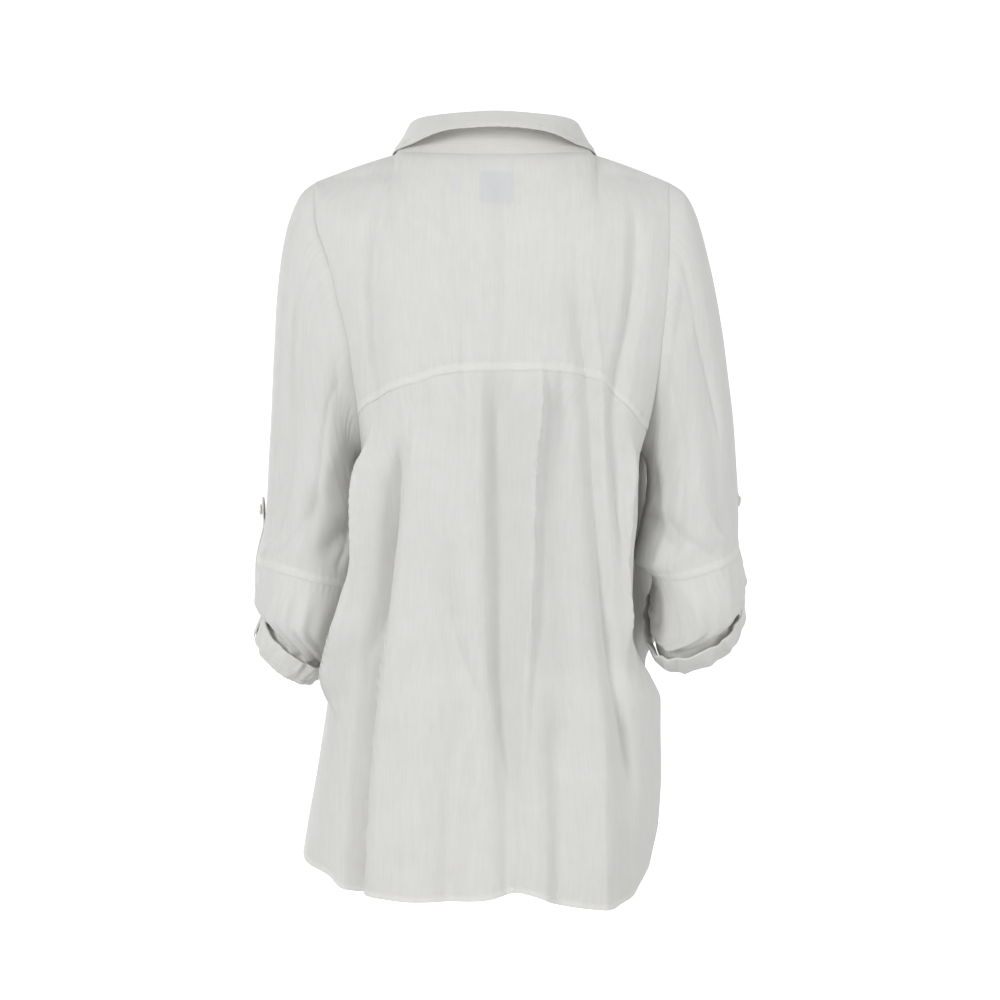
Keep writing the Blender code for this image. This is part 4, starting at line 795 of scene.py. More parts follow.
def row_heights(share, top_z, hem_name, seam_z):
    """The heights of a column's rows: to the seam's level, to the underarm, then to the hem."""
    under = float(underarm(share))
    upper = top_z + (seam_z - top_z) * ROWS / YOKE_ROWS
    middle = seam_z + (under - seam_z) * (ROWS - YOKE_ROWS) / UNDERARM_ROWS
    lower = under + (float(edge(hem_name, share)) - under) * (ROWS - ARM_ROWS) / BODY_ROWS
    return np.where(ROWS <= YOKE_ROWS, upper, np.where(ROWS <= ARM_ROWS, middle, lower))


def back_shares():
    """The columns of the back, from the wearer's right to the left."""
    half = [NECK_SHARE * place / NECK_COLUMNS for place in cut(0, NECK_COLUMNS, COLUMN_STEPS)]
    half += [NECK_SHARE + (1.0 - NECK_SHARE) * place / SHOULDER_COLUMNS
             for place in cut(0, SHOULDER_COLUMNS, COLUMN_STEPS)[1:]]
    half = sorted(half + [1.0 - part for part in EDGE_SHARES])
    return [-share for share in reversed(half[1:])] + half


def hung_column(top, x, y, z, across, deep):
    """A panel's column: from its upper point out to the body's plain form."""
    return np.stack((top[0] + (x - top[0]) * across, top[1] + (y - top[1]) * deep, z), axis=1)


def plain_back():
    """The back of the body, yoke and panel, before its folds, and the shares of its points."""
    columns = []
    for share in back_shares():
        top = back_top(share)
        z = row_heights(share, top[2], "hem", float(edge("yoke", share)))
        x, y = body_point(share, z, "back")
        size = abs(share)
        if size >= NECK_SHARE:
            reach, sharpness = shoulder_reach((size - NECK_SHARE) / (1.0 - NECK_SHARE))
        else:
            reach, sharpness = NECK_ROUND, turn_at(BACK_TURN, (size / NECK_SHARE) ** 2)
        deep = round_over(top[2] - z, reach, sharpness)
        across = ease((top[2] - z) / NECK_ROUND) if size < 1.0 else 1.0
        columns.append(hung_column(top, x, y, z, across, deep))
    return np.stack(columns, axis=1), np.array([back_shares()] * len(ROWS))


def front_columns():
    """The columns of a front as (kind, way): the band, the neckline and the shoulder."""
    band = [("band", way) for way in BAND_WAYS]
    neck = [("neck", place / FRONT_NECK_COLUMNS) for place in cut(0, FRONT_NECK_COLUMNS, NECK_STEPS)]
    ways = [place / SHOULDER_COLUMNS for place in cut(0, SHOULDER_COLUMNS, COLUMN_STEPS)[1:]]
    ways += [1.0 - part / (1.0 - NECK_SHARE) for part in EDGE_SHARES]
    return band + neck + [("shoulder", way) for way in sorted(ways)]


FRONT_COLUMNS = front_columns()
PANEL_COLUMN = FRONT_COLUMNS.index(("neck", 0.0))
NECK_END = FRONT_COLUMNS.index(("neck", 1.0))
BAND_MIDDLE = FRONT_COLUMNS.index(("band", 0.5))


def front_column(kind, way, sign, z):
    """A front column's upper point and its share of the way to the side at each height."""
    band_share = share_at(sign * BAND_HALF, z)
    band_way = 2.0 * BAND_HALF / NECKLINE_LENGTH
    if kind == "band":
        return front_neck(band_way * way, sign), -band_share + 2.0 * band_share * way
    if kind == "neck":
        return (front_neck(band_way + (1.0 - band_way) * way, sign),
                band_share + (sign * NECK_SHARE - band_share) * way)
    share = sign * (NECK_SHARE + (1.0 - NECK_SHARE) * way)
    return shoulder_point(share), share + 0.0 * band_share


def front_reach(kind, way):
    """How a front column turns from its upper edge to the chest."""
    if kind == "shoulder":
        return shoulder_reach(way)
    reach = FRONT_TOP[2] - V_POINT_Z
    if kind == "band":
        return reach, FRONT_TURN[0]
    return reach + (NECK_ROUND - reach) * way, turn_at(FRONT_TURN, way)


def plain_front(sign):
    """One front with its band, before its folds, from its free edge to the side, and its shares."""
    columns, shares = [], []
    for kind, way in FRONT_COLUMNS:
        top, share = front_column(kind, way, sign, V_POINT_Z)
        share = float(share)
        seam_z = float(edge("yoke", float(sign))) + FRONT_SEAM_RISE * (1.0 - abs(share))
        side = share if abs(share) > FRONT_LEAST_SHARE else math.copysign(FRONT_LEAST_SHARE, sign)
        z = row_heights(side, top[2], "front_hem", seam_z)
        share = front_column(kind, way, sign, z)[1]
        x, y = body_point(share, z, "front")
        reach, sharpness = front_reach(kind, way)
        deep = round_over(top[2] - z, reach, sharpness)
        at_side = kind == "shoulder" and way == 1.0
        across = 1.0 if at_side else np.minimum(1.0, (top[2] - z) / max(reach, FRONT_SPREAD))
        columns.append(hung_column(top, x, y, z, across, deep))
        shares.append(share)
    return np.stack(columns, axis=1), np.stack(shares, axis=1)


def grid_normals(grid, closed=False):
    """A normal for each point of a grid, turned by the order of its rows and columns."""
    if closed:
        around = np.roll(grid, -1, axis=1) - np.roll(grid, 1, axis=1)
    else:
        around = np.gradient(grid, axis=1)
    return unit(np.cross(around, np.gradient(grid, axis=0)))


def fold_depth(folds, shares, z, girth, bend):
    """How far the folds push points out, by their share of the way to the side."""
    push = np.zeros_like(z)
    for fold in folds:
        heights, places = zip(*fold.path)
        away = (shares - share_at(smooth(heights, places, z), z)) * girth
        reach = np.where(away > 0.0, fold.to_left, fold.to_right)
        start = ease((heights[0] + FOLD_FADE - z) / (2.0 * FOLD_FADE))
        end = ease((z - heights[-1] + FOLD_FADE) / (2.0 * FOLD_FADE))
        if heights[-1] <= FOLD_TO_HEM_Z:
            end = 1.0
        push += fold.depth * np.exp(-np.abs(away / reach) ** bend) * start * end
    return push


def fold_panel(panel, folds, creases, outward):
    """Press the folds and creases into a panel, leaving its armhole and side edges where they are."""
    grid, shares = panel
    z = grid[..., 2]
    girth = FOLD_GIRTH * (width_at(shares, z) + level("back", z))
    hold = ease((1.0 - np.abs(shares)) / FOLD_SIDE_HOLD) * ease(ROWS / FOLD_TOP_ROWS)[:, None]
    push = fold_depth(folds, shares, z, girth, FOLD_BEND)
    push = push + fold_depth(creases, shares, z, girth, CREASE_BEND)
    return grid + grid_normals(grid) * outward * (push * hold)[..., None]


def lap_under(grid):
    """Take the left front's band and the cloth beside it in, so that the right one lies over it."""
    normals = grid_normals(grid)
    if normals[-1, 0, 1] > 0.0:
        normals = -normals
    x, z = grid[..., 0], grid[..., 2]
    drop = CAD_BAND + 2.0 * SEAM_GAP + V_DROP * np.exp(-((z - V_POINT_Z) / V_REACH) ** 2)
    under = ease((BAND_HALF + LAP_EASE - x) / (LAP_EASE - LAP_FLAT))
    return grid - normals * (drop * under)[..., None]


def flattened(part):
    """A sine or cosine drawn outwards, for a section between an ellipse and a box."""
    return np.sign(part) * np.abs(part) ** SLEEVE_ROUNDNESS


def ring_points(ring, angles, grow=0.0, along=0.0):
    """A sleeve ring's points at angles from its outer side over the back, grown or moved along."""
    outer = np.array((ring.outer_x, ring.middle, ring.outer_z))
    inner = np.array((ring.inner_x, ring.middle, ring.inner_z))
    across = 0.5 * (outer - inner)
    back = np.array((0.0, ring.depth, -ring.drop))
    down = np.cross(across, back)
    down *= -np.sign(down[2]) / np.linalg.norm(down)
    across = across + unit(across) * grow
    back = back + unit(back) * grow
    cosines, sines = np.cos(angles)[:, None], np.sin(angles)[:, None]
    return 0.5 * (outer + inner) + flattened(cosines) * across + flattened(sines) * back + down * along


def ring_out(ring, angles, grow, along):
    """The directions in which a ring's points move as it grows."""
    return unit(ring_points(ring, angles, grow + 0.001, along) - ring_points(ring, angles, grow, along))


def ring_between(rings, place):
    """The ring at a place between the tabled ones."""
    stations = range(len(rings))
    return Ring(*(float(smooth(stations, column(rings, name), place)) for name in Ring._fields))


def sleeve_angles():
    """Even angles round a sleeve, over the back, under the arm and up the front."""
    over = 2.0 * math.pi * ROWS[:ARM + 1] / RING_COLUMNS
    return np.concatenate((over, 2.0 * math.pi - over[1:ARM][::-1]))


EVEN = sleeve_angles()


def armhole_loop(back_edge, front_edge):
    """The armhole's points, from the shoulder tip over the back and under the arm to the front."""
    return np.concatenate((back_edge[:ARM + 1], front_edge[1:ARM][::-1]))


def loop_angles(loop, side):
    """Where each armhole point lies round the sleeve, from its height."""
    way = (SHOULDER_TIP_Z - loop[:, 2]) / (SHOULDER_TIP_Z - UNDERARM_Z[side])
    angles = np.arccos(np.clip(1.0 - 2.0 * way, -1.0, 1.0))
    angles[ARM + 1:] = 2.0 * math.pi - angles[ARM + 1:]
    return angles


def sleeve_places(side):
    """Where the upper sleeve's rows lie among its rings, closer at the cap and at the seam."""
    count = len(UPPER_RINGS[side])
    return merged(cut(0, count, SLEEVE_STEPS) + list(CAP_ROWS) + [count - part for part in SEAM_ROWS])


def sleeve_fold_depth(folds, down, around, bend):
    """How far a sleeve's folds push its points out."""
    push = np.zeros(np.broadcast(down, around).shape)
    for fold in folds:
        stations, places = zip(*fold.path)
        near = ease((down - stations[0] + SLEEVE_FOLD_START[0]) / SLEEVE_FOLD_START[1])
        near = near * ease((stations[-1] + SLEEVE_FOLD_END[0] - down) / SLEEVE_FOLD_END[1])
        away = np.abs((around - smooth(stations, places, down)) / fold.width)
        push = push + fold.depth * near * np.exp(-away ** bend)
    return push


def sleeve_grid(side, loop):
    """The upper sleeve's rows from the armhole to the elbow seam, with its folds."""
    start = loop_angles(loop, side)
    first = Ring(loop[0, 0], loop[0, 2], loop[ARM, 0], loop[ARM, 2], ARMHOLE_BACK, 0.0, 0.0)
    strain = loop - ring_points(first, start)
    rings = (first,) + UPPER_RINGS[side]
    ways = sleeve_places(side) / len(UPPER_RINGS[side])
    grid = np.array([ring_points(ring_between(rings, place), start + (EVEN - start) * float(ease(way)))
                     + strain * (1.0 - way) ** 3 for place, way in zip(sleeve_places(side), ways)])
    down, around = ways[:, None], EVEN[None, :] / (2.0 * math.pi)
    push = sleeve_fold_depth(SLEEVE_FOLDS, down, around, FOLD_BEND)
    push = push + sleeve_fold_depth(SLEEVE_CREASES[side], down, around, CREASE_BEND)
    push[0] = push[-1] = 0.0
    return grid + away_from_axis(grid) * push[..., None]


def away_from_axis(grid):
    """The normals of a closed grid, turned away from its axis."""
    normals = grid_normals(grid, closed=True)
    centre = grid.mean(axis=1, keepdims=True)
    return normals * np.sign(np.sum(normals * (grid - centre), axis=2, keepdims=True))


def lower_sleeve_grid(side, last):
    """The lower sleeve, from the elbow seam until it ends inside the rolled cuff."""
    inside = CUFF_THICK + 0.5 * CUFF_FLARE + 2.0 * SEAM_GAP
    lines = [last] + [ring_points(ring, EVEN) for ring in LOWER_RINGS[side]]
    for grow, along in ((-inside, -CUFF_HALF_HEIGHT - CUFF_LEAD),
                        (-inside - 0.5 * CUFF_FLARE, -CUFF_HALF_HEIGHT),
                        (-inside, CUFF_HALF_HEIGHT - LINING_SHORT)):
        lines.append(ring_points(CUFF_RINGS[side], EVEN, grow, along))
    return through(lines, SLEEVE_STEPS)


def distances(points, axis=0):
    """How far each point of a line, or of a grid along one axis, lies from the first, in metres."""
    steps = np.linalg.norm(np.diff(points, axis=axis), axis=-1)
    first = np.zeros_like(np.take(steps, [0], axis=axis))
    return np.concatenate((first, np.cumsum(steps, axis=axis)), axis=axis)


def lengths(grid, closed=False):
    """How far each point lies along its row, from the middle one if open, and down its column."""
    along = distances(grid, axis=1)
    if not closed:
        along -= along[:, grid.shape[1] // 2][:, None]
    return along, distances(grid)


def collar_line(shares, prefix):
    """The collar's line through a table's three columns, at shares of its half-length on both sides."""
    sign, size = np.sign(shares), np.minimum(np.abs(shares), 1.0)
    half_shares = column(COLLAR, "share")
    mirrored = [-at for at in half_shares[:0:-1]] + half_shares
    values = []
    for axis, turn in (("x", -1.0), ("y", 1.0), ("z", 1.0)):
        half = column(COLLAR, prefix + "_" + axis)
        values.append(smooth(mirrored, [turn * value for value in half[:0:-1]] + half, size))
    return np.stack((sign * values[0], values[1], values[2]), axis=1)


def collar_grids(base):
    """The stand above the neckline's points, and the fall, which starts at the middle of each band."""
    length = distances(base)
    middle = length[len(base) // 2]
    shares = (length - middle) / middle
    top, low = collar_line(shares, "top"), collar_line(shares, "edge")
    stand = np.array([base + (top - base) * way for way in np.linspace(0.0, 1.0, STAND_ROWS)])
    rise = smooth(*zip(*FALL_SECTION), FALL_WAYS)
    fall = np.array([top + (low - top) * way + (0.0, 0.0, up) for way, up in zip(FALL_WAYS, rise)])
    return stand, fall[:, BAND_MIDDLE:-BAND_MIDDLE]


def uneven(a, b, seed):
    """An uneven wave over two coordinates that are about one wave long for each unit, from -1 to 1."""
    draw = np.random.default_rng(seed)
    total = 0.0
    for _ in range(WAVES):
        turn = draw.uniform(-0.5, 0.5)
        pitch = 2.0 * math.pi * draw.uniform(0.6, 1.5)
        phase = draw.uniform(0.0, 2.0 * math.pi)
        total = total + np.sin(pitch * (a * math.cos(turn) + b * math.sin(turn)) + phase)
    return total / WAVES


def pucker(along, away, shape, seed):
    """Short uneven waves that a row of stitches draws up beside it."""
    reach, height = shape
    wave = uneven(along / PUCKER_LENGTH, away / PUCKER_SPREAD, seed)
    return height * wave * np.exp(-(away / reach) ** 2)


def drape(along, down, amount, seed):
    """The slight unevenness of hanging cloth: long shallow waves and short soft ones."""
    total = 0.0
    for share, across, length in DRAPE_WAVES:
        total = total + share * uneven(along / across, down / length, seed)
        seed += 1
    return amount * total


def groove(away, dip):
    """A narrow dip along a line, of a width and depth."""
    return -dip[1] * np.exp(-(away / dip[0]) ** 2)


def beside(away, width, blend=EDGE_BLEND):
    """One on the folded cloth beside an edge, nothing beyond it."""
    return ease((width + 0.5 * blend - away) / blend)


def raised_band(away, width, rise):
    """A flat band of folded cloth beside an edge, a stitch line along its inner side."""
    return rise * beside(away, width) + groove(away - width + STITCH_INSET, STITCH_DIP)


def hemmed(along, to_hem, rise, seed):
    """A folded hem and the puckers over its stitches."""
    return raised_band(to_hem, HEM, rise) + pucker(along, to_hem - HEM, HEM_PUCKER, seed)


def quads(number, closed):
    """The quads of a grid of numbered points, as rows of four numbers."""
    right = np.roll(number, -1, axis=1) if closed else number[:, 1:]
    left = number if closed else number[:, :-1]
    return np.stack((left[:-1], right[:-1], right[1:], left[1:]), axis=-1).reshape(-1, 4)


def rims(number, closed):
    """The loops of points along a grid's open edges."""
    if closed:
        return [number[0], number[-1][::-1]]
    return [np.concatenate((number[0], number[1:, -1], number[-1, -2::-1], number[-2:0:-1, 0]))]


def mesh_piece(name, points, faces, uvs, material, sharp=60.0):
    """An object from points and faces, with its uvs in metres."""
    mesh = bpy.data.meshes.new(name)
    mesh.from_pydata(np.asarray(points).tolist(), [], [list(map(int, face)) for face in faces])
    if uvs is not None:
        layer = mesh.uv_layers.new(name="cloth")
        corners = np.zeros(len(mesh.loops), np.int32)
        mesh.loops.foreach_get("vertex_index", corners)
        layer.data.foreach_set("uv", uvs[corners].astype(np.float32).ravel())
    mesh.shade_smooth()
    mesh.set_sharp_from_angle(angle=math.radians(sharp))
    mesh.materials.append(material)
    mesh.update()
    return placed(name, mesh)


def placed(name, data):
    """A new object in the scene."""
    made = bpy.data.objects.new(name, data)
    bpy.context.scene.collection.objects.link(made)
    return made


def shell(name, outer, normals, thickness, material, closed=False, double=None):
    """Cloth: a grid of points, its copy one thickness in, and the edges between them."""
    rows, cols = outer.shape[:2]
    size = rows * cols
    inner = outer - normals * np.reshape(thickness, np.shape(thickness) + (1,) * (3 - np.ndim(thickness)))
    points = np.concatenate((outer.reshape(-1, 3), inner.reshape(-1, 3)))
    number = np.arange(size).reshape(rows, cols)
    face = quads(number, closed)
    at = rows // 2, cols // 2
    corner = outer[at[0] + 1, at[1]] - outer[at], outer[at[0], at[1] + 1] - outer[at]
    flip = np.cross(corner[1], corner[0]) @ normals[at] < 0.0
    face = face if flip else face[:, ::-1]
    faces = [face, size + face[:, ::-1]]
    for loop in rims(number, closed):
        after = np.roll(loop, -1)
        strip = np.stack((after, loop, size + loop, size + after), axis=1)
        faces.append(strip if flip else strip[:, ::-1])
    flat = np.stack(lengths(outer, closed), axis=-1).reshape(-1, 2)
    piece = mesh_piece(name, points, np.concatenate(faces), np.concatenate((flat, flat)), material)
    if double is not None:
        layer = piece.data.attributes.new("double", "FLOAT", "POINT")
        layer.data.foreach_set("value", np.tile(double.ravel(), 2).astype(np.float32))
    return piece


def on_frame(piece, slot, *nodes):
    """Set a piece on the frame, in the place of its nodes."""
    for node in nodes:
        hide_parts(node)
    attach(piece, "root")


def sewn(piece, node, slot="linen"):
    """Set a piece of cloth on the frame, in the place of its node."""
    on_frame(piece, slot, node)


def read_at(place, stations, points):
    """A point between the points of a line, by a place among its stations."""
    return np.array([np.interp(place, stations, points[:, k]) for k in range(3)])


def trace(points, normals, away, at):
    """The line across a panel's columns at a distance from an edge, with its normals."""
    line, outs = [], []
    for col in range(points.shape[1]):
        order = np.argsort(away[:, col])
        xs = away[order, col]
        line.append(read_at(at, xs, points[order, col]))
        outs.append(read_at(at, xs, normals[order, col]))
    return np.array(line), unit(np.array(outs))


def trace_down(points, normals, away, at):
    """The line down a panel's rows at a distance from a side edge, with its normals."""
    return trace(points.transpose(1, 0, 2), normals.transpose(1, 0, 2), away.T, at)


def stitch_mesh(name, lines):
    """Rows of stitches, each one a small pointed bar that lies on the cloth."""
    points, faces = [], []
    for line, outs in lines:
        length = distances(line)
        for number in range(int(length[-1] / (STITCH + STITCH_GAP))):
            start = number * (STITCH + STITCH_GAP) + 0.5 * STITCH_GAP
            ends = [read_at(start + part * STITCH, length, line) for part in STITCH_ENDS]
            out = unit(read_at(start + 0.5 * STITCH, length, outs))
            side = unit(np.cross(out, ends[3] - ends[0])) * STITCH_HALF_WIDTH
            lift = out * STITCH_HALF_WIDTH
            base = len(points)
            points.append(ends[0] - 0.5 * lift)
            for place in ends[1:3]:
                points.extend((place + side, place + STITCH_TOP * lift, place - side, place - lift))
            points.append(ends[3] - 0.5 * lift)
            for k in range(4):
                j = (k + 1) % 4
                faces.append((base, base + 1 + j, base + 1 + k))
                faces.append((base + 1 + k, base + 1 + j, base + 5 + j, base + 5 + k))
                faces.append((base + 5 + k, base + 5 + j, base + 9))
    on_frame(mesh_piece(name, points, faces, None, thread), "linen")


def shader_of(name, color, roughness):
    """A new material, its node tree and its principled shader."""
    made = bpy.data.materials.new(name)
    made.use_nodes = True
    shader = made.node_tree.nodes["Principled BSDF"]
    shader.inputs["Base Color"].default_value = (*color, 1.0)
    shader.inputs["Roughness"].default_value = roughness
    return made, made.node_tree, shader


def add(tree, kind, **inputs):
    """A node, with its inputs set by name, or by number as i0 and i1, to a value or from a socket."""
    node = tree.nodes.new("ShaderNode" + kind)
    for name, value in inputs.items():
        numbered = name[0] == "i" and name[1:].isdigit()
        socket = node.inputs[int(name[1:]) if numbered else name.replace("_", " ")]
        if isinstance(value, bpy.types.NodeSocket):
            tree.links.new(value, socket)
        else:
            socket.default_value = value
    return node


def math_node(tree, operation, a, b):
    """A sum, product or the like of two values."""
    node = add(tree, "Math", i0=a, i1=b)
    node.operation = operation
    return node.outputs[0]


def weighted(tree, *parts):
    """The sum of values, each times its weight."""
    shares = [math_node(tree, "MULTIPLY", value, weight) for value, weight in parts]
    total = shares[0]
    for share in shares[1:]:
        total = math_node(tree, "ADD", total, share)
    return total


def mixed(tree, color, factor, other):
    """A colour drawn towards another one by a factor."""
    mix = add(tree, "Mix", Factor=factor)
    mix.data_type = "RGBA"
    tree.links.new(color, mix.inputs["A"])
    mix.inputs["B"].default_value = other
    return mix.outputs["Result"]


def ramp(tree, value, *stops):
    """A colour that runs from one stop to another, each a value and a colour."""
    node = add(tree, "ValToRGB", Fac=value)
    for element, (position, color) in zip(node.color_ramp.elements, stops):
        element.position = position
        element.color = (*color, 1.0)
    return node.outputs["Color"]


def streaks(tree, coordinates, scale, stretch):
    """Noise drawn out along the threads, in waves of the cloth's metres."""
    mapping = add(tree, "Mapping", Vector=coordinates, Scale=stretch)
    return add(tree, "TexNoise", Vector=mapping.outputs[0], Scale=scale, Detail=2.0).outputs["Fac"]


def waves(tree, coordinates, direction):
    """The threads of a plain weave that run one way."""
    node = add(tree, "TexWave", Vector=coordinates, Scale=WEAVE_SCALE, Distortion=1.2)
    node.bands_direction = direction
    return node.outputs["Fac"]


def patch(tree, place, middle, half):
    """One inside a soft-edged stretch of a coordinate, nothing outside it."""
    off = math_node(tree, "ABSOLUTE", math_node(tree, "SUBTRACT", place, middle), 0.0)
    soft = add(tree, "MapRange", Value=off, From_Min=half + LABEL_SOFT, From_Max=half - LABEL_SOFT)
    soft.interpolation_type = "SMOOTHSTEP"
    return soft.outputs["Result"]


def label_shadow(tree, color):
    """A painted shadow: the colour made a little darker and cooler where the blank tapes show through the
    yoke.
    """
    parts = add(tree, "SeparateXYZ", Vector=add(tree, "TexCoord").outputs["Object"])
    inside = [(math_node(tree, "MULTIPLY", patch(tree, parts.outputs["X"], x, half_x),
                         patch(tree, parts.outputs["Z"], z, half_z)), depth)
              for x, z, half_x, half_z, depth in LABEL_SHADOWS]
    return mixed(tree, color, weighted(tree, *inside), LABEL_SHADOW_TINT)


def linen(name, color, across=False, slub=1.0, shadow=False):
    """Off-white linen: an uneven plain weave with thick threads, mostly along the cut or across it."""
    made, tree, shader = shader_of(name, color, LINEN_ROUGHNESS)
    for socket, value in LINEN_FINISH.items():
        shader.inputs[socket].default_value = value
    coordinates = add(tree, "UVMap").outputs["UV"]
    long_way, short_way = (way[::-1] if across else way for way in (THREAD_STRETCH, WEFT_STRETCH))
    warp = streaks(tree, coordinates, WARP_SCALE, (*long_way, 1.0))
    weft = streaks(tree, coordinates, WEFT_SCALE, (*short_way, 1.0))
    broad = streaks(tree, coordinates, BROAD_SCALE, tuple(0.3 + 0.7 * part for part in (*long_way, 1.0)))
    mottle = add(tree, "TexNoise", Vector=coordinates, Scale=MOTTLE_SCALE, Detail=3.0).outputs["Fac"]
    grain = weighted(tree, (warp, WARP_TELLS), (weft, WEFT_TELLS), (broad, BROAD_TELLS))
    dark = 1.0 - SLUB_TINT * slub
    low = (color[0] * dark, color[1] * dark, color[2] * dark * SLUB_WARMTH)
    high = tuple(min(1.0, part * LIGHT_THREAD) for part in color)
    tone = weighted(tree, (grain, GRAIN_TINT), (mottle, MOTTLE_TINT))
    surface = ramp(tree, tone, (0.38, low), (0.82, high))
    # Painted shadow of the tapes behind the yoke, in the yoke's colour only.
    if shadow:
        surface = label_shadow(tree, surface)
    folded = add(tree, "Attribute")
    folded.attribute_name = "double"
    lighter = math_node(tree, "MULTIPLY", folded.outputs["Fac"], FOLDED_SHOWS)
    surface = mixed(tree, surface, lighter, FOLDED_COLOR)
    tree.links.new(surface, shader.inputs["Base Color"])
    weave = math_node(tree, "MULTIPLY", waves(tree, coordinates, "X"), waves(tree, coordinates, "Y"))
    relief = weighted(tree, (grain, 1.0), (weave, WEAVE_TELLS))
    bump = add(tree, "Bump", Strength=RELIEF_STRENGTH * slub, Distance=RELIEF, Height=relief)
    tree.links.new(bump.outputs["Normal"], shader.inputs["Normal"])
    return made


def plain_finish(name, color, roughness, scale, depth):
    """A smooth finish with slight mottling, for thread or button shell."""
    made, tree, shader = shader_of(name, color, roughness)
    coordinates = add(tree, "TexCoord").outputs["Object"]
    noise = add(tree, "TexNoise", Vector=coordinates, Scale=scale, Detail=3.0)
    dark = tuple(part * (1.0 - depth) for part in color)
    surface = ramp(tree, noise.outputs["Fac"], (0.35, dark), (0.70, color))
    tree.links.new(surface, shader.inputs["Base Color"])
    return made


cloth = linen("linen_body", LINEN)
# The yoke's linen carries a painted shadow of the tapes behind it.
yoke_cloth = linen("linen_yoke", LINEN, shadow=True)
cloth_across = linen("linen_collar", LINEN, across=True)
thread = plain_finish("sewing_thread", (0.80, 0.79, 0.765), 0.6, 900.0, 0.10)
shell_finish = plain_finish("button_shell", (0.82, 0.80, 0.75), 0.28, 180.0, 0.12)
tape = linen("label_tape", (0.66, 0.69, 0.74), across=True, slub=0.6)


def make_back():
    """The yoke and the back panel, sewn together on an arched felled seam."""
    grid = fold_panel(plain_back(), BACK_FOLDS, BACK_CREASES, 1.0)
    normals = grid_normals(grid)
    along, down = lengths(grid)
    left, right = from_end(along, 1), along - along[:, :1]
    from_side = np.minimum(left, right)
    inside = ease(from_side / SIDE_CALM)
    above, to_hem = down[SEAM][None, :] - down, from_end(down)
    push = BACK_RISE * ease(left / SEAM_DIP) * ease(right / SEAM_DIP) * ease(down / EDGE_START)
    push += drape(along, down, BODY_DRAPE, BACK_SEED) * inside * ease(down / TOP_CALM)
    push += pucker(along, above - FELL, YOKE_PUCKER, YOKE_SEED) * inside
    yoke_push = push + raised_band(above, FELL, FELL_RISE) * ease(from_side / SEAM_START)
    yoke = grid + normals * yoke_push[..., None]
    upper, lower, skirt = slice(None, SEAM + 1), slice(SEAM, None), slice(ARM, None)
    sewn(shell("yoke_cloth", yoke[upper], normals[upper], CLOTH, yoke_cloth,
               double=beside(above, FELL, TINT_BLEND)[upper]), "yoke")
    panel_push = push * ease(-above / BAND_START) + hemmed(along, to_hem, HEM_RISE, BACK_HEM_SEED)
    panel = grid + normals * panel_push[..., None]
    thickness = CLOTH + HEM_RISE * beside(to_hem, HEM)
    sewn(shell("back_cloth", panel[lower], normals[lower], thickness[lower], cloth,
               double=beside(to_hem, HEM, TINT_BLEND)[lower]), "back")
    lines = [trace(yoke[upper], normals[upper], above[upper], at) for at in FELL_STITCHES]
    lines.append(trace(panel[skirt], normals[skirt], to_hem[skirt], HEM - STITCH_INSET))
    lines += [trace_down(panel[skirt], normals[skirt], away[skirt], SIDE_STITCH) for away in (left, right)]
    stitch_mesh("back_stitches", lines)
    return grid, normals


def make_front(side, sign, outward):
    """One front and its band."""
    grid = fold_panel(plain_front(sign), FRONT_FOLDS, FRONT_CREASES, outward)
    if side == "left":
        grid = lap_under(grid)
    normals = grid_normals(grid) * outward
    along, down = lengths(grid)
    free, to_side = from_start(along), np.abs(from_end(along, 1))
    seam = np.abs(free - free[:, PANEL_COLUMN][:, None])
    to_hem = from_end(down)
    push = FRONT_RISE * ease(to_side / SEAM_DIP) * ease(down / EDGE_START)
    calm = ease(to_side / SIDE_CALM) * ease(down / TOP_CALM)
    push += drape(along, down, BODY_DRAPE, FRONT_SEED + sign) * calm
    push += hemmed(along, to_hem, HEM_RISE, FRONT_HEM_SEED + sign)
    band_push = BAND_RISE * ease(seam / BAND_BLEND) + raised_band(to_hem, HEM, BAND_HEM_RISE)
    band_push += groove(seam - BAND_STITCH, BAND_DIP) + groove(free - BAND_STITCH, BAND_DIP)
    band_push += pucker(down, seam - BAND_STITCH, BAND_PUCKER, BAND_SEED + sign)
    band = grid + normals * (band_push * ease(down / BAND_START))[..., None]
    panel = grid + normals * (push * ease(seam / SEAM_START) * ease(down / SEAM_START))[..., None]
    inner, outer = slice(None, PANEL_COLUMN + 1), slice(PANEL_COLUMN, None)
    sewn(shell("front_cloth_" + side, panel[:, outer], normals[:, outer], CLOTH, cloth,
               double=beside(to_hem, HEM, TINT_BLEND)[:, outer]), "front_" + side)
    sewn(shell("front_band_" + side, band[:, inner], normals[:, inner], BAND, cloth), "placket_" + side)
    lines = [trace_down(band[:, inner], normals[:, inner], away[:, inner], BAND_STITCH)
             for away in (free, seam)]
    lines.append(trace(panel[ARM:, outer], normals[ARM:, outer], to_hem[ARM:, outer], HEM - STITCH_INSET))
    stitch_mesh("front_stitches_" + side, lines)
    return grid, normals


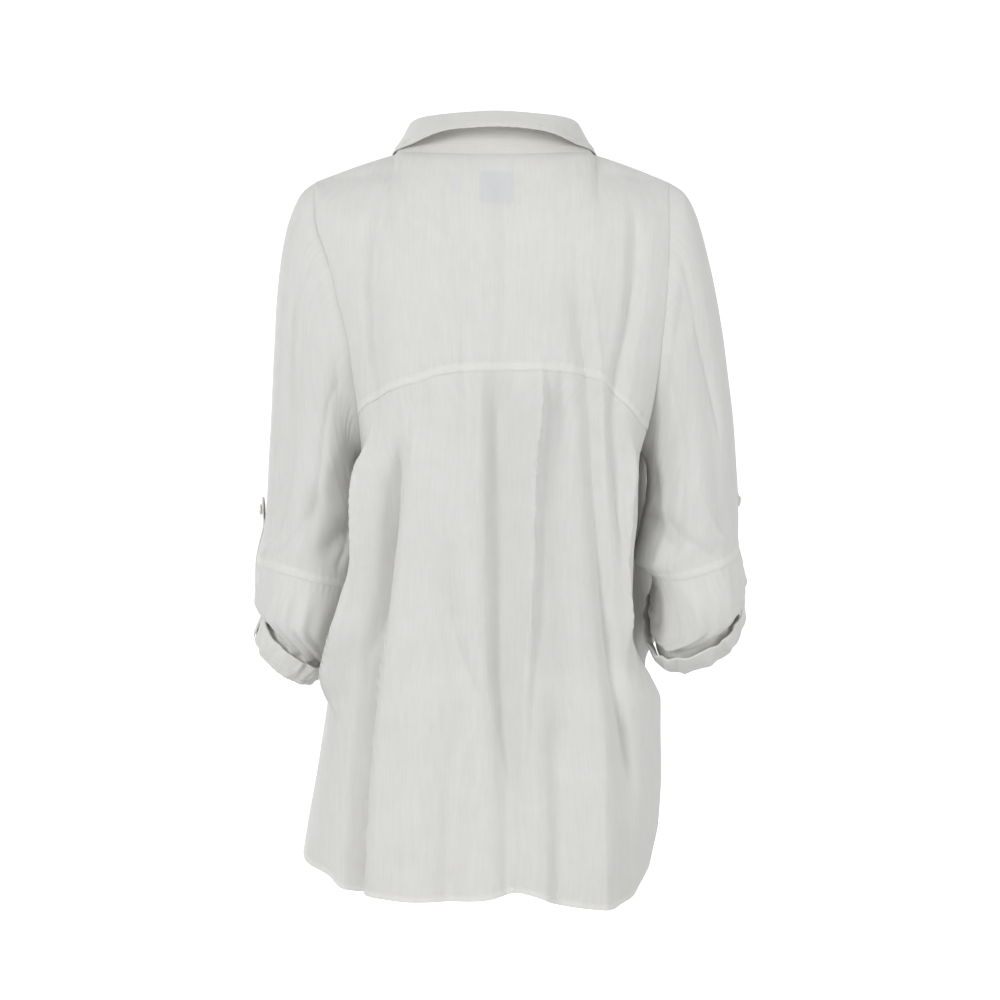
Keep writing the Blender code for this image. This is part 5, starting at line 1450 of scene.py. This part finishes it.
def make_sleeve(side, loop, seed):
    """The upper sleeve, the lower sleeve below its felled seam, and their stitches."""
    grid = sleeve_grid(side, loop)
    normals = away_from_axis(grid)
    along, down = lengths(grid, closed=True)
    above = from_end(down)
    push = drape(along, down, SLEEVE_DRAPE, seed) * ease(down / END_CALM) * ease(above / END_CALM)
    push += CAP_RISE * ease(down / SEAM_DIP)
    push += pucker(along, above - FELL, ELBOW_PUCKER, seed + 3) * ease(above / EDGE_START)
    upper = grid + normals * (push + raised_band(above, FELL, FELL_RISE))[..., None]
    sewn(shell("sleeve_cloth_" + side, upper, normals, CLOTH, cloth, closed=True,
               double=beside(above, FELL, TINT_BLEND)), "sleeve_" + side)
    lower_grid = lower_sleeve_grid(side, grid[-1])
    lower_normals = away_from_axis(lower_grid)
    along, down = lengths(lower_grid, closed=True)
    to_end = from_end(down)
    push = pucker(along, down, BELOW_ELBOW_PUCKER, seed + 5)
    push = push + drape(along, down, LOWER_SLEEVE_DRAPE, seed + 7)
    push = push * ease(down / EDGE_START) * ease(to_end / ROLL_CALM)
    gathers = uneven(along / GATHER_LENGTHS[0], down / GATHER_LENGTHS[1], seed + 8)
    push += GATHER * gathers * ease(down / GATHER_START) * ease(to_end / GATHER_END)
    lower = lower_grid + lower_normals * push[..., None]
    sewn(shell("lower_sleeve_cloth_" + side, lower, lower_normals, CLOTH, cloth, closed=True),
         "lower_sleeve_" + side)
    near_seam = [np.concatenate((part, part[:, :1]), axis=1)[-30:] for part in (upper, normals, above)]
    stitch_mesh("sleeve_stitches_" + side, [trace(*near_seam, at) for at in FELL_STITCHES])
    return grid, normals, lower_grid, lower_normals


def cuff_section():
    """The rolled cuff's section, on a closed smooth curve: how far along the sleeve and how far in."""
    knots = []
    for along, depth, at_lip in CUFF_SECTION:
        place = along * (CUFF_HALF_HEIGHT + (CUFF_LIP if at_lip else 0.0))
        knots.append((place, depth * CUFF_THICK - 0.5 * CUFF_FLARE * place / CUFF_HALF_HEIGHT))
    knots = np.array(knots)
    section = []
    for i in range(len(knots)):
        a, b, c, d = (knots[(i + k) % len(knots)] for k in (-1, 0, 1, 2))
        for t in np.arange(0.0, 1.0, 0.2):
            cubic = t * (3 * (b - c) + d - a)
            section.append(b + 0.5 * t * (c - a + t * (2 * a - 5 * b + 4 * c - d + cubic)))
    return np.array(section)


def make_cuff(side, seed):
    """The rolled end of a sleeve: one rounded roll of several layers, stitched along its hem."""
    ring = CUFF_RINGS[side]
    girth = CUFF_GIRTH * EVEN / (2.0 * math.pi)
    loops = []
    for along, grow in cuff_section():
        wave = CUFF_WAVE * uneven(girth / CUFF_LONG[0], along / CUFF_LONG[1], seed)
        wave = wave + 0.5 * CUFF_WAVE * uneven(girth / CUFF_SHORT[0], along / CUFF_SHORT[1], seed + 1)
        wave = wave + pucker(girth, along - CUFF_PUCKER_AT, CUFF_PUCKER, seed + 2)
        wave = wave + groove(along - CUFF_STITCH, CUFF_DIP) * (grow > -0.5 * CUFF_THICK)
        out = ring_out(ring, EVEN, grow, along)
        loops.append(ring_points(ring, EVEN, grow, along) + out * wave[:, None])
    grid = np.array(loops)
    number = np.arange(grid[..., 0].size).reshape(grid.shape[:2])
    faces = quads(np.concatenate((number, number[:1])), closed=True)
    points = grid.reshape(-1, 3)
    a, b, c, d = (points[faces[:, k]] for k in range(4))
    if np.sum(a * np.cross(b, c)) + np.sum(a * np.cross(c, d)) < 0.0:
        faces = faces[:, ::-1]
    flat = np.stack(lengths(grid, closed=True), axis=-1).reshape(-1, 2)
    sewn(mesh_piece("cuff_cloth_" + side, points, faces, flat, cloth_across), "cuff_" + side)
    line = ring_points(ring, EVEN, -CUFF_STITCH_SINK, CUFF_STITCH)
    outs = unit(ring_points(ring, EVEN, 0.0, CUFF_STITCH) - line)
    stitch_mesh("cuff_stitches_" + side, [[np.concatenate((part, part[:1])) for part in (line, outs)]])


def coarse_column(number):
    """Where one of the solids' sleeve columns lies among the fine ones."""
    place = int(np.searchsorted(ROWS, abs(number)))
    return place if number >= 0 else len(EVEN) - place


def tab_path(side, upper, upper_n, lower, lower_n):
    """The tab's lines of three points and their normals, down the sleeve and over the cuff."""
    middle = TAB_COLUMN[side]
    cols = [coarse_column(middle + k) % len(EVEN) for k in (-1, 0, 1)]
    count = len(UPPER_RINGS[side])
    rows = [int(row) for row in np.searchsorted(sleeve_places(side), np.arange(count + 1))]
    points, outs = [], []
    for way, _, lift in TAB_TIP:
        out = upper_n[rows[TAB_ROW]][cols]
        here = upper[rows[TAB_ROW - 1]][cols] * way + upper[rows[TAB_ROW]][cols] * (1.0 - way)
        points.append(here + out * lift)
        outs.append(out)
    for row in rows[TAB_ROW:]:
        points.append(upper[row][cols])
        outs.append(upper_n[row][cols])
    for row in range(SLEEVE_STEPS, SLEEVE_STEPS * len(LOWER_RINGS[side]) + 1, SLEEVE_STEPS):
        points.append(lower[row][cols])
        outs.append(lower_n[row][cols])
    angles = np.array([2.0 * math.pi * (middle + k) / RING_COLUMNS for k in (-1, 0, 1)])
    high = CUFF_HALF_HEIGHT
    for along, grow in ((-high, 0.5 * CUFF_FLARE), (0.0, 0.0), (high, -0.5 * CUFF_FLARE),
                        (high + TAB_TURN[0], -0.5 * CUFF_FLARE + TAB_TURN[1])):
        points.append(ring_points(CUFF_RINGS[side], angles, grow, along))
        outs.append(ring_out(CUFF_RINGS[side], angles, grow, along))
    return points, outs


def across_tab(rows):
    """A tab's rows of three points, read at the finer columns."""
    return np.array([[a + (b - a) * 2 * way if way < 0.5 else b + (c - b) * (2 * way - 1)
                      for way in TAB_WAYS] for a, b, c in rows])


def make_tab(side, surfaces):
    """A roll tab with its stitched edge, and its lines of points and normals."""
    points, outs = tab_path(side, *surfaces)
    strips = []
    for row, (here, out) in enumerate(zip(points, outs)):
        half = TAB_HALF_WIDTH * (TAB_TIP[row][1] if row < len(TAB_TIP) else 1.0)
        before, after = unit(here[0] - here[1]) * half, unit(here[2] - here[1]) * half
        strips.append(np.array((here[1] + before, here[1], here[1] + after)) + out * (LAY_GAP + TAB_THICK))
    strips, tops = through(strips, TAB_STEPS), through(outs, TAB_STEPS)
    grid, normals = across_tab(strips), unit(across_tab(tops))
    along, down = lengths(grid)
    away = np.minimum(np.minimum(from_start(along), np.abs(from_end(along, 1))), down)
    push = groove(away - TAB_STITCH, TAB_DIP) + pucker(down, away - TAB_STITCH, TAB_PUCKER, TAB_SEED)
    push -= TAB_EDGE_DROP * (away < TAB_EDGE)
    outer = grid + normals * push[..., None]
    sewn(shell("tab_cloth_" + side, outer, normals, TAB_CLOTH, cloth), "tab_" + side)
    middle = len(TAB_WAYS) // 2
    halves = slice(None, middle + 1), slice(middle, None)
    lines = [trace_down(outer[:, half], normals[:, half], away[:, half], TAB_STITCH) for half in halves]
    stitch_mesh("tab_stitches_" + side, lines)
    return strips, tops


def circle(radius, z, sides):
    """The points of a level circle."""
    turn = 2.0 * math.pi * np.arange(sides) / sides
    return np.stack((radius * np.cos(turn), radius * np.sin(turn), np.full_like(turn, z)), axis=1)


def button_mesh():
    """A button on its back, of radius and height one: a raised rim and a dished face with four holes."""
    rings = [circle(radius, height, BUTTON_SIDES) for height, radius in BUTTON_PROFILE]
    line = np.linspace(-1.0, 1.0, DISH_POINTS)
    v, u = np.meshgrid(line, line, indexing="ij")
    x = DISH_RADIUS * u * np.sqrt(1.0 - 0.5 * v * v)
    y = DISH_RADIUS * v * np.sqrt(1.0 - 0.5 * u * u)
    near = np.min([np.hypot(x - HOLE_PLACE * math.cos(angle), y - HOLE_PLACE * math.sin(angle))
                   for angle in math.pi * (0.25 + 0.5 * np.arange(4))], axis=0)
    sunk = HOLE_DEPTH * ease((HOLE_RADIUS - near) / HOLE_EDGE + 0.5)
    dish = np.stack((x, y, DISH_HEIGHT - sunk), axis=-1)
    number = np.arange(len(rings) * BUTTON_SIDES).reshape(len(rings), BUTTON_SIDES)
    dished = number.size + np.arange(near.size).reshape(near.shape)
    faces = quads(number, closed=True).tolist() + [number[0, ::-1].tolist()]
    return np.concatenate(rings + [dish.reshape(-1, 3)]), faces + quads(dished, closed=False).tolist()


def make_button(name, node, centre, normal):
    """A button in its node's place, and the thread that lies over it between its holes."""
    side = unit(np.cross(normal, (0.0, 0.0, 1.0)))
    up = np.cross(side, normal)
    points, faces = button_mesh()
    flat = BUTTON_RADIUS * (points[:, :1] * side + points[:, 1:2] * up)
    points = centre + flat + BUTTON_THICK * points[:, 2:] * normal
    if np.cross(side, up) @ normal < 0.0:
        faces = [face[::-1] for face in faces]
    piece = mesh_piece(name, points, faces, None, shell_finish, BUTTON_SHARP)
    on_frame(piece, "shell_button", node)
    top = centre + normal * BUTTON_THICK * THREAD_PLACE
    reach = HOLE_PLACE * BUTTON_RADIUS / math.sqrt(2.0)
    rows = [top + up * row for row in (-reach, reach)]
    return [((row - side * reach, row + normal * THREAD_ARCH, row + side * reach), normal) for row in rows]


def thread_bars(name, bars):
    """The sewing thread that lies over buttons between their holes."""
    points, faces = [], []
    for (start, middle, end), out in bars:
        first = len(points)
        side = unit(np.cross(out, end - start)) * THREAD_HALF
        near, far = start * 0.7 + middle * 0.3, end * 0.7 + middle * 0.3
        for base in (start - out * THREAD_SINK, near, far, end - out * THREAD_SINK):
            points.extend((base + side, base + out * THREAD_TOP, base - side, base - out * THREAD_BASE))
        number = first + np.arange(16).reshape(4, 4)
        faces += quads(number, closed=True).tolist() + [number[0, ::-1].tolist(), number[3].tolist()]
    on_frame(mesh_piece(name, points, faces, None, thread), "linen")


def at_height(grid, normals, col, z):
    """A point of a column at a height, and the normal there."""
    heights = grid[::-1, col, 2]
    return read_at(z, heights, grid[::-1, col]), unit(read_at(z, heights, normals[::-1, col]))


def make_collar(right, left, back):
    """The stand and the fall that turns down over it, with its edge stitching."""
    first = SHOULDER_COLUMNS * COLUMN_STEPS + len(EDGE_SHARES)
    base = np.concatenate((right[0, :NECK_END], back[0, first:-first], left[0, :NECK_END][::-1]))
    stand, fall = collar_grids(base)
    stand_n = grid_normals(stand)
    sign = 1.0 if np.sum(stand_n * stand * (1.0, 1.0, 0.0)) > 0.0 else -1.0
    stand_n, fall_n = stand_n * sign, grid_normals(fall) * sign
    along, down = lengths(stand)
    push = drape(along, down, STAND_DRAPE, STAND_SEED)
    push = push * ease(from_end(down) / EDGE_START) * ease(down / EDGE_START)
    push += groove(down - STAND_STITCH, STAND_DIP)
    piece = shell("collar_stand_cloth", stand + stand_n * push[..., None], stand_n, BAND, cloth_across)
    sewn(piece, "collar_stand")
    along, down = lengths(fall)
    low = from_end(down)
    ends = np.minimum(from_start(along), np.abs(from_end(along, 1)))
    away = np.minimum(ends, low)
    push = drape(along, down, FALL_DRAPE, FALL_SEED) * ease(down / END_CALM)
    push += groove(away - COLLAR_STITCH, COLLAR_DIP)
    push += pucker(along, away - COLLAR_PUCKER_AT, COLLAR_PUCKER, FALL_PUCKER_SEED)
    behind = ease((FALL_SIDE_X - np.abs(fall[..., 0])) / FALL_FADE_X) * (fall[..., 1] > 0.0)
    push -= FALL_LIES * ease(down / (down + low)) * behind
    outer = fall + fall_n * push[..., None]
    sewn(shell("collar_fall_cloth", outer, fall_n, BAND, cloth_across), "collar_fall")
    part = slice(FALL_LOW_ROW, None)
    away = away + 0.02 * (ends < FALL_ENDS_CLEAR)
    stitch_mesh("collar_stitches", [trace(outer[part], fall_n[part], away[part], COLLAR_STITCH)])
    return stand, stand_n


def make_labels(back, normals):
    """Two blank tapes on the inside of the yoke."""
    middle = back.shape[1] // 2
    for label in LABELS:
        cols = slice(middle + label.first * COLUMN_STEPS, middle + label.last * COLUMN_STEPS + 1)
        first, last = np.searchsorted(ROWS, (label.rows[0], label.rows[-1]))
        outs = normals[first:last + 1, cols]
        outer = back[first:last + 1, cols] - outs * (CAD_CLOTH + LAY_GAP)
        sewn(shell(label.name + "_tape", outer, outs, TAPE, tape), label.name, "label_tape")


def studio_card():
    """One pale sheet that is the floor and sweeps up all round, which diffuse light doesn't see."""
    made, _, shader = shader_of("studio_card", CARD_COLOR, 0.9)
    shader.inputs["Emission Color"].default_value = WHITE
    shader.inputs["Emission Strength"].default_value = CARD_GLOW
    points = [np.array([(0.0, 0.0, FLOOR_Z)])]
    points += [circle(radius, FLOOR_Z + height, CARD_SIDES) for radius, height in CARD_PROFILE]
    number = 1 + np.arange(len(CARD_PROFILE) * CARD_SIDES).reshape(len(CARD_PROFILE), CARD_SIDES)
    faces = [(0, a, b) for a, b in zip(number[0], np.roll(number[0], -1))]
    faces += quads(number, closed=True)[:, ::-1].tolist()
    card = mesh_piece("studio_card", np.concatenate(points), faces, None, made)
    card.visible_diffuse = False


def area_light(name, place, size, power):
    """A soft light that faces the shirt."""
    light = bpy.data.lights.new(name, "AREA")
    light.energy = power
    light.size = size
    lamp = placed(name, light)
    lamp.location = place
    way = np.array(LIGHTS_FACE) - np.array(place)
    tilt = math.acos(-way[2] / np.linalg.norm(way))
    lamp.rotation_euler = (tilt, 0.0, math.atan2(way[1], way[0]) - math.pi / 2)


def make_studio():
    """Pale surroundings, soft lights and the photograph's camera."""
    studio_card()
    world = bpy.data.worlds.new("studio")
    world.use_nodes = True
    background = world.node_tree.nodes["Background"]
    background.inputs["Color"].default_value = WHITE
    background.inputs["Strength"].default_value = WORLD_GLOW
    scene = bpy.context.scene
    scene.world = world
    scene.view_settings.view_transform = "Standard"
    for light in LIGHTS:
        area_light(*light)
    data = bpy.data.cameras.new("camera")
    data.lens = CAMERA_LENS
    data.sensor_width = CAMERA_SENSOR
    camera = placed("camera", data)
    camera.location = CAMERA_PLACE
    camera.rotation_euler = (math.radians(90.0), 0.0, math.radians(180.0))
    scene.camera = camera


def dress():
    """Dress the frame."""
    back, back_n = make_back()
    left, left_n = make_front("left", 1, -1.0)
    right, right_n = make_front("right", -1, 1.0)
    for side, loop in (("left", armhole_loop(back[:, -1], left[:, -1])),
                       ("right", armhole_loop(back[:, 0], right[:, -1]))):
        surfaces = make_sleeve(side, loop, SLEEVE_SEED[side])
        make_cuff(side, CUFF_SEED[side])
        strips, tops = make_tab(side, surfaces)
        upper, lower = strips[TAB_STEPS], strips[2 * TAB_STEPS]
        flat = unit(np.cross(lower[1] - upper[1], upper[2] - upper[0]))
        flat *= np.sign(flat @ tops[TAB_STEPS, 1])
        place = 0.5 * (upper[1] + lower[1]) + flat * LAY_GAP
        thread_bars("tab_button_thread_" + side,
                    make_button("tab_button_shell_" + side, "tab_button_" + side, place, flat))
    stand, stand_n = make_collar(right, left, back)
    middle = STAND_ROWS // 2
    places = [(stand[middle, -1 - BAND_MIDDLE // 2], stand_n[middle, -1])]
    places.append(at_height(left, left_n, BAND_MIDDLE, OPEN_BUTTON_Z))
    places += [at_height(right, right_n, BAND_MIDDLE, z) for z in BUTTON_HEIGHTS]
    bars = []
    for number, (point, normal) in enumerate(places, 1):
        node = "button_%d" % number
        bars += make_button("front_" + node, node, point + normal * LAY_GAP, normal)
    thread_bars("front_button_thread", bars)
    make_labels(back, back_n)


dress()
make_studio()
bpy.context.view_layer.update()
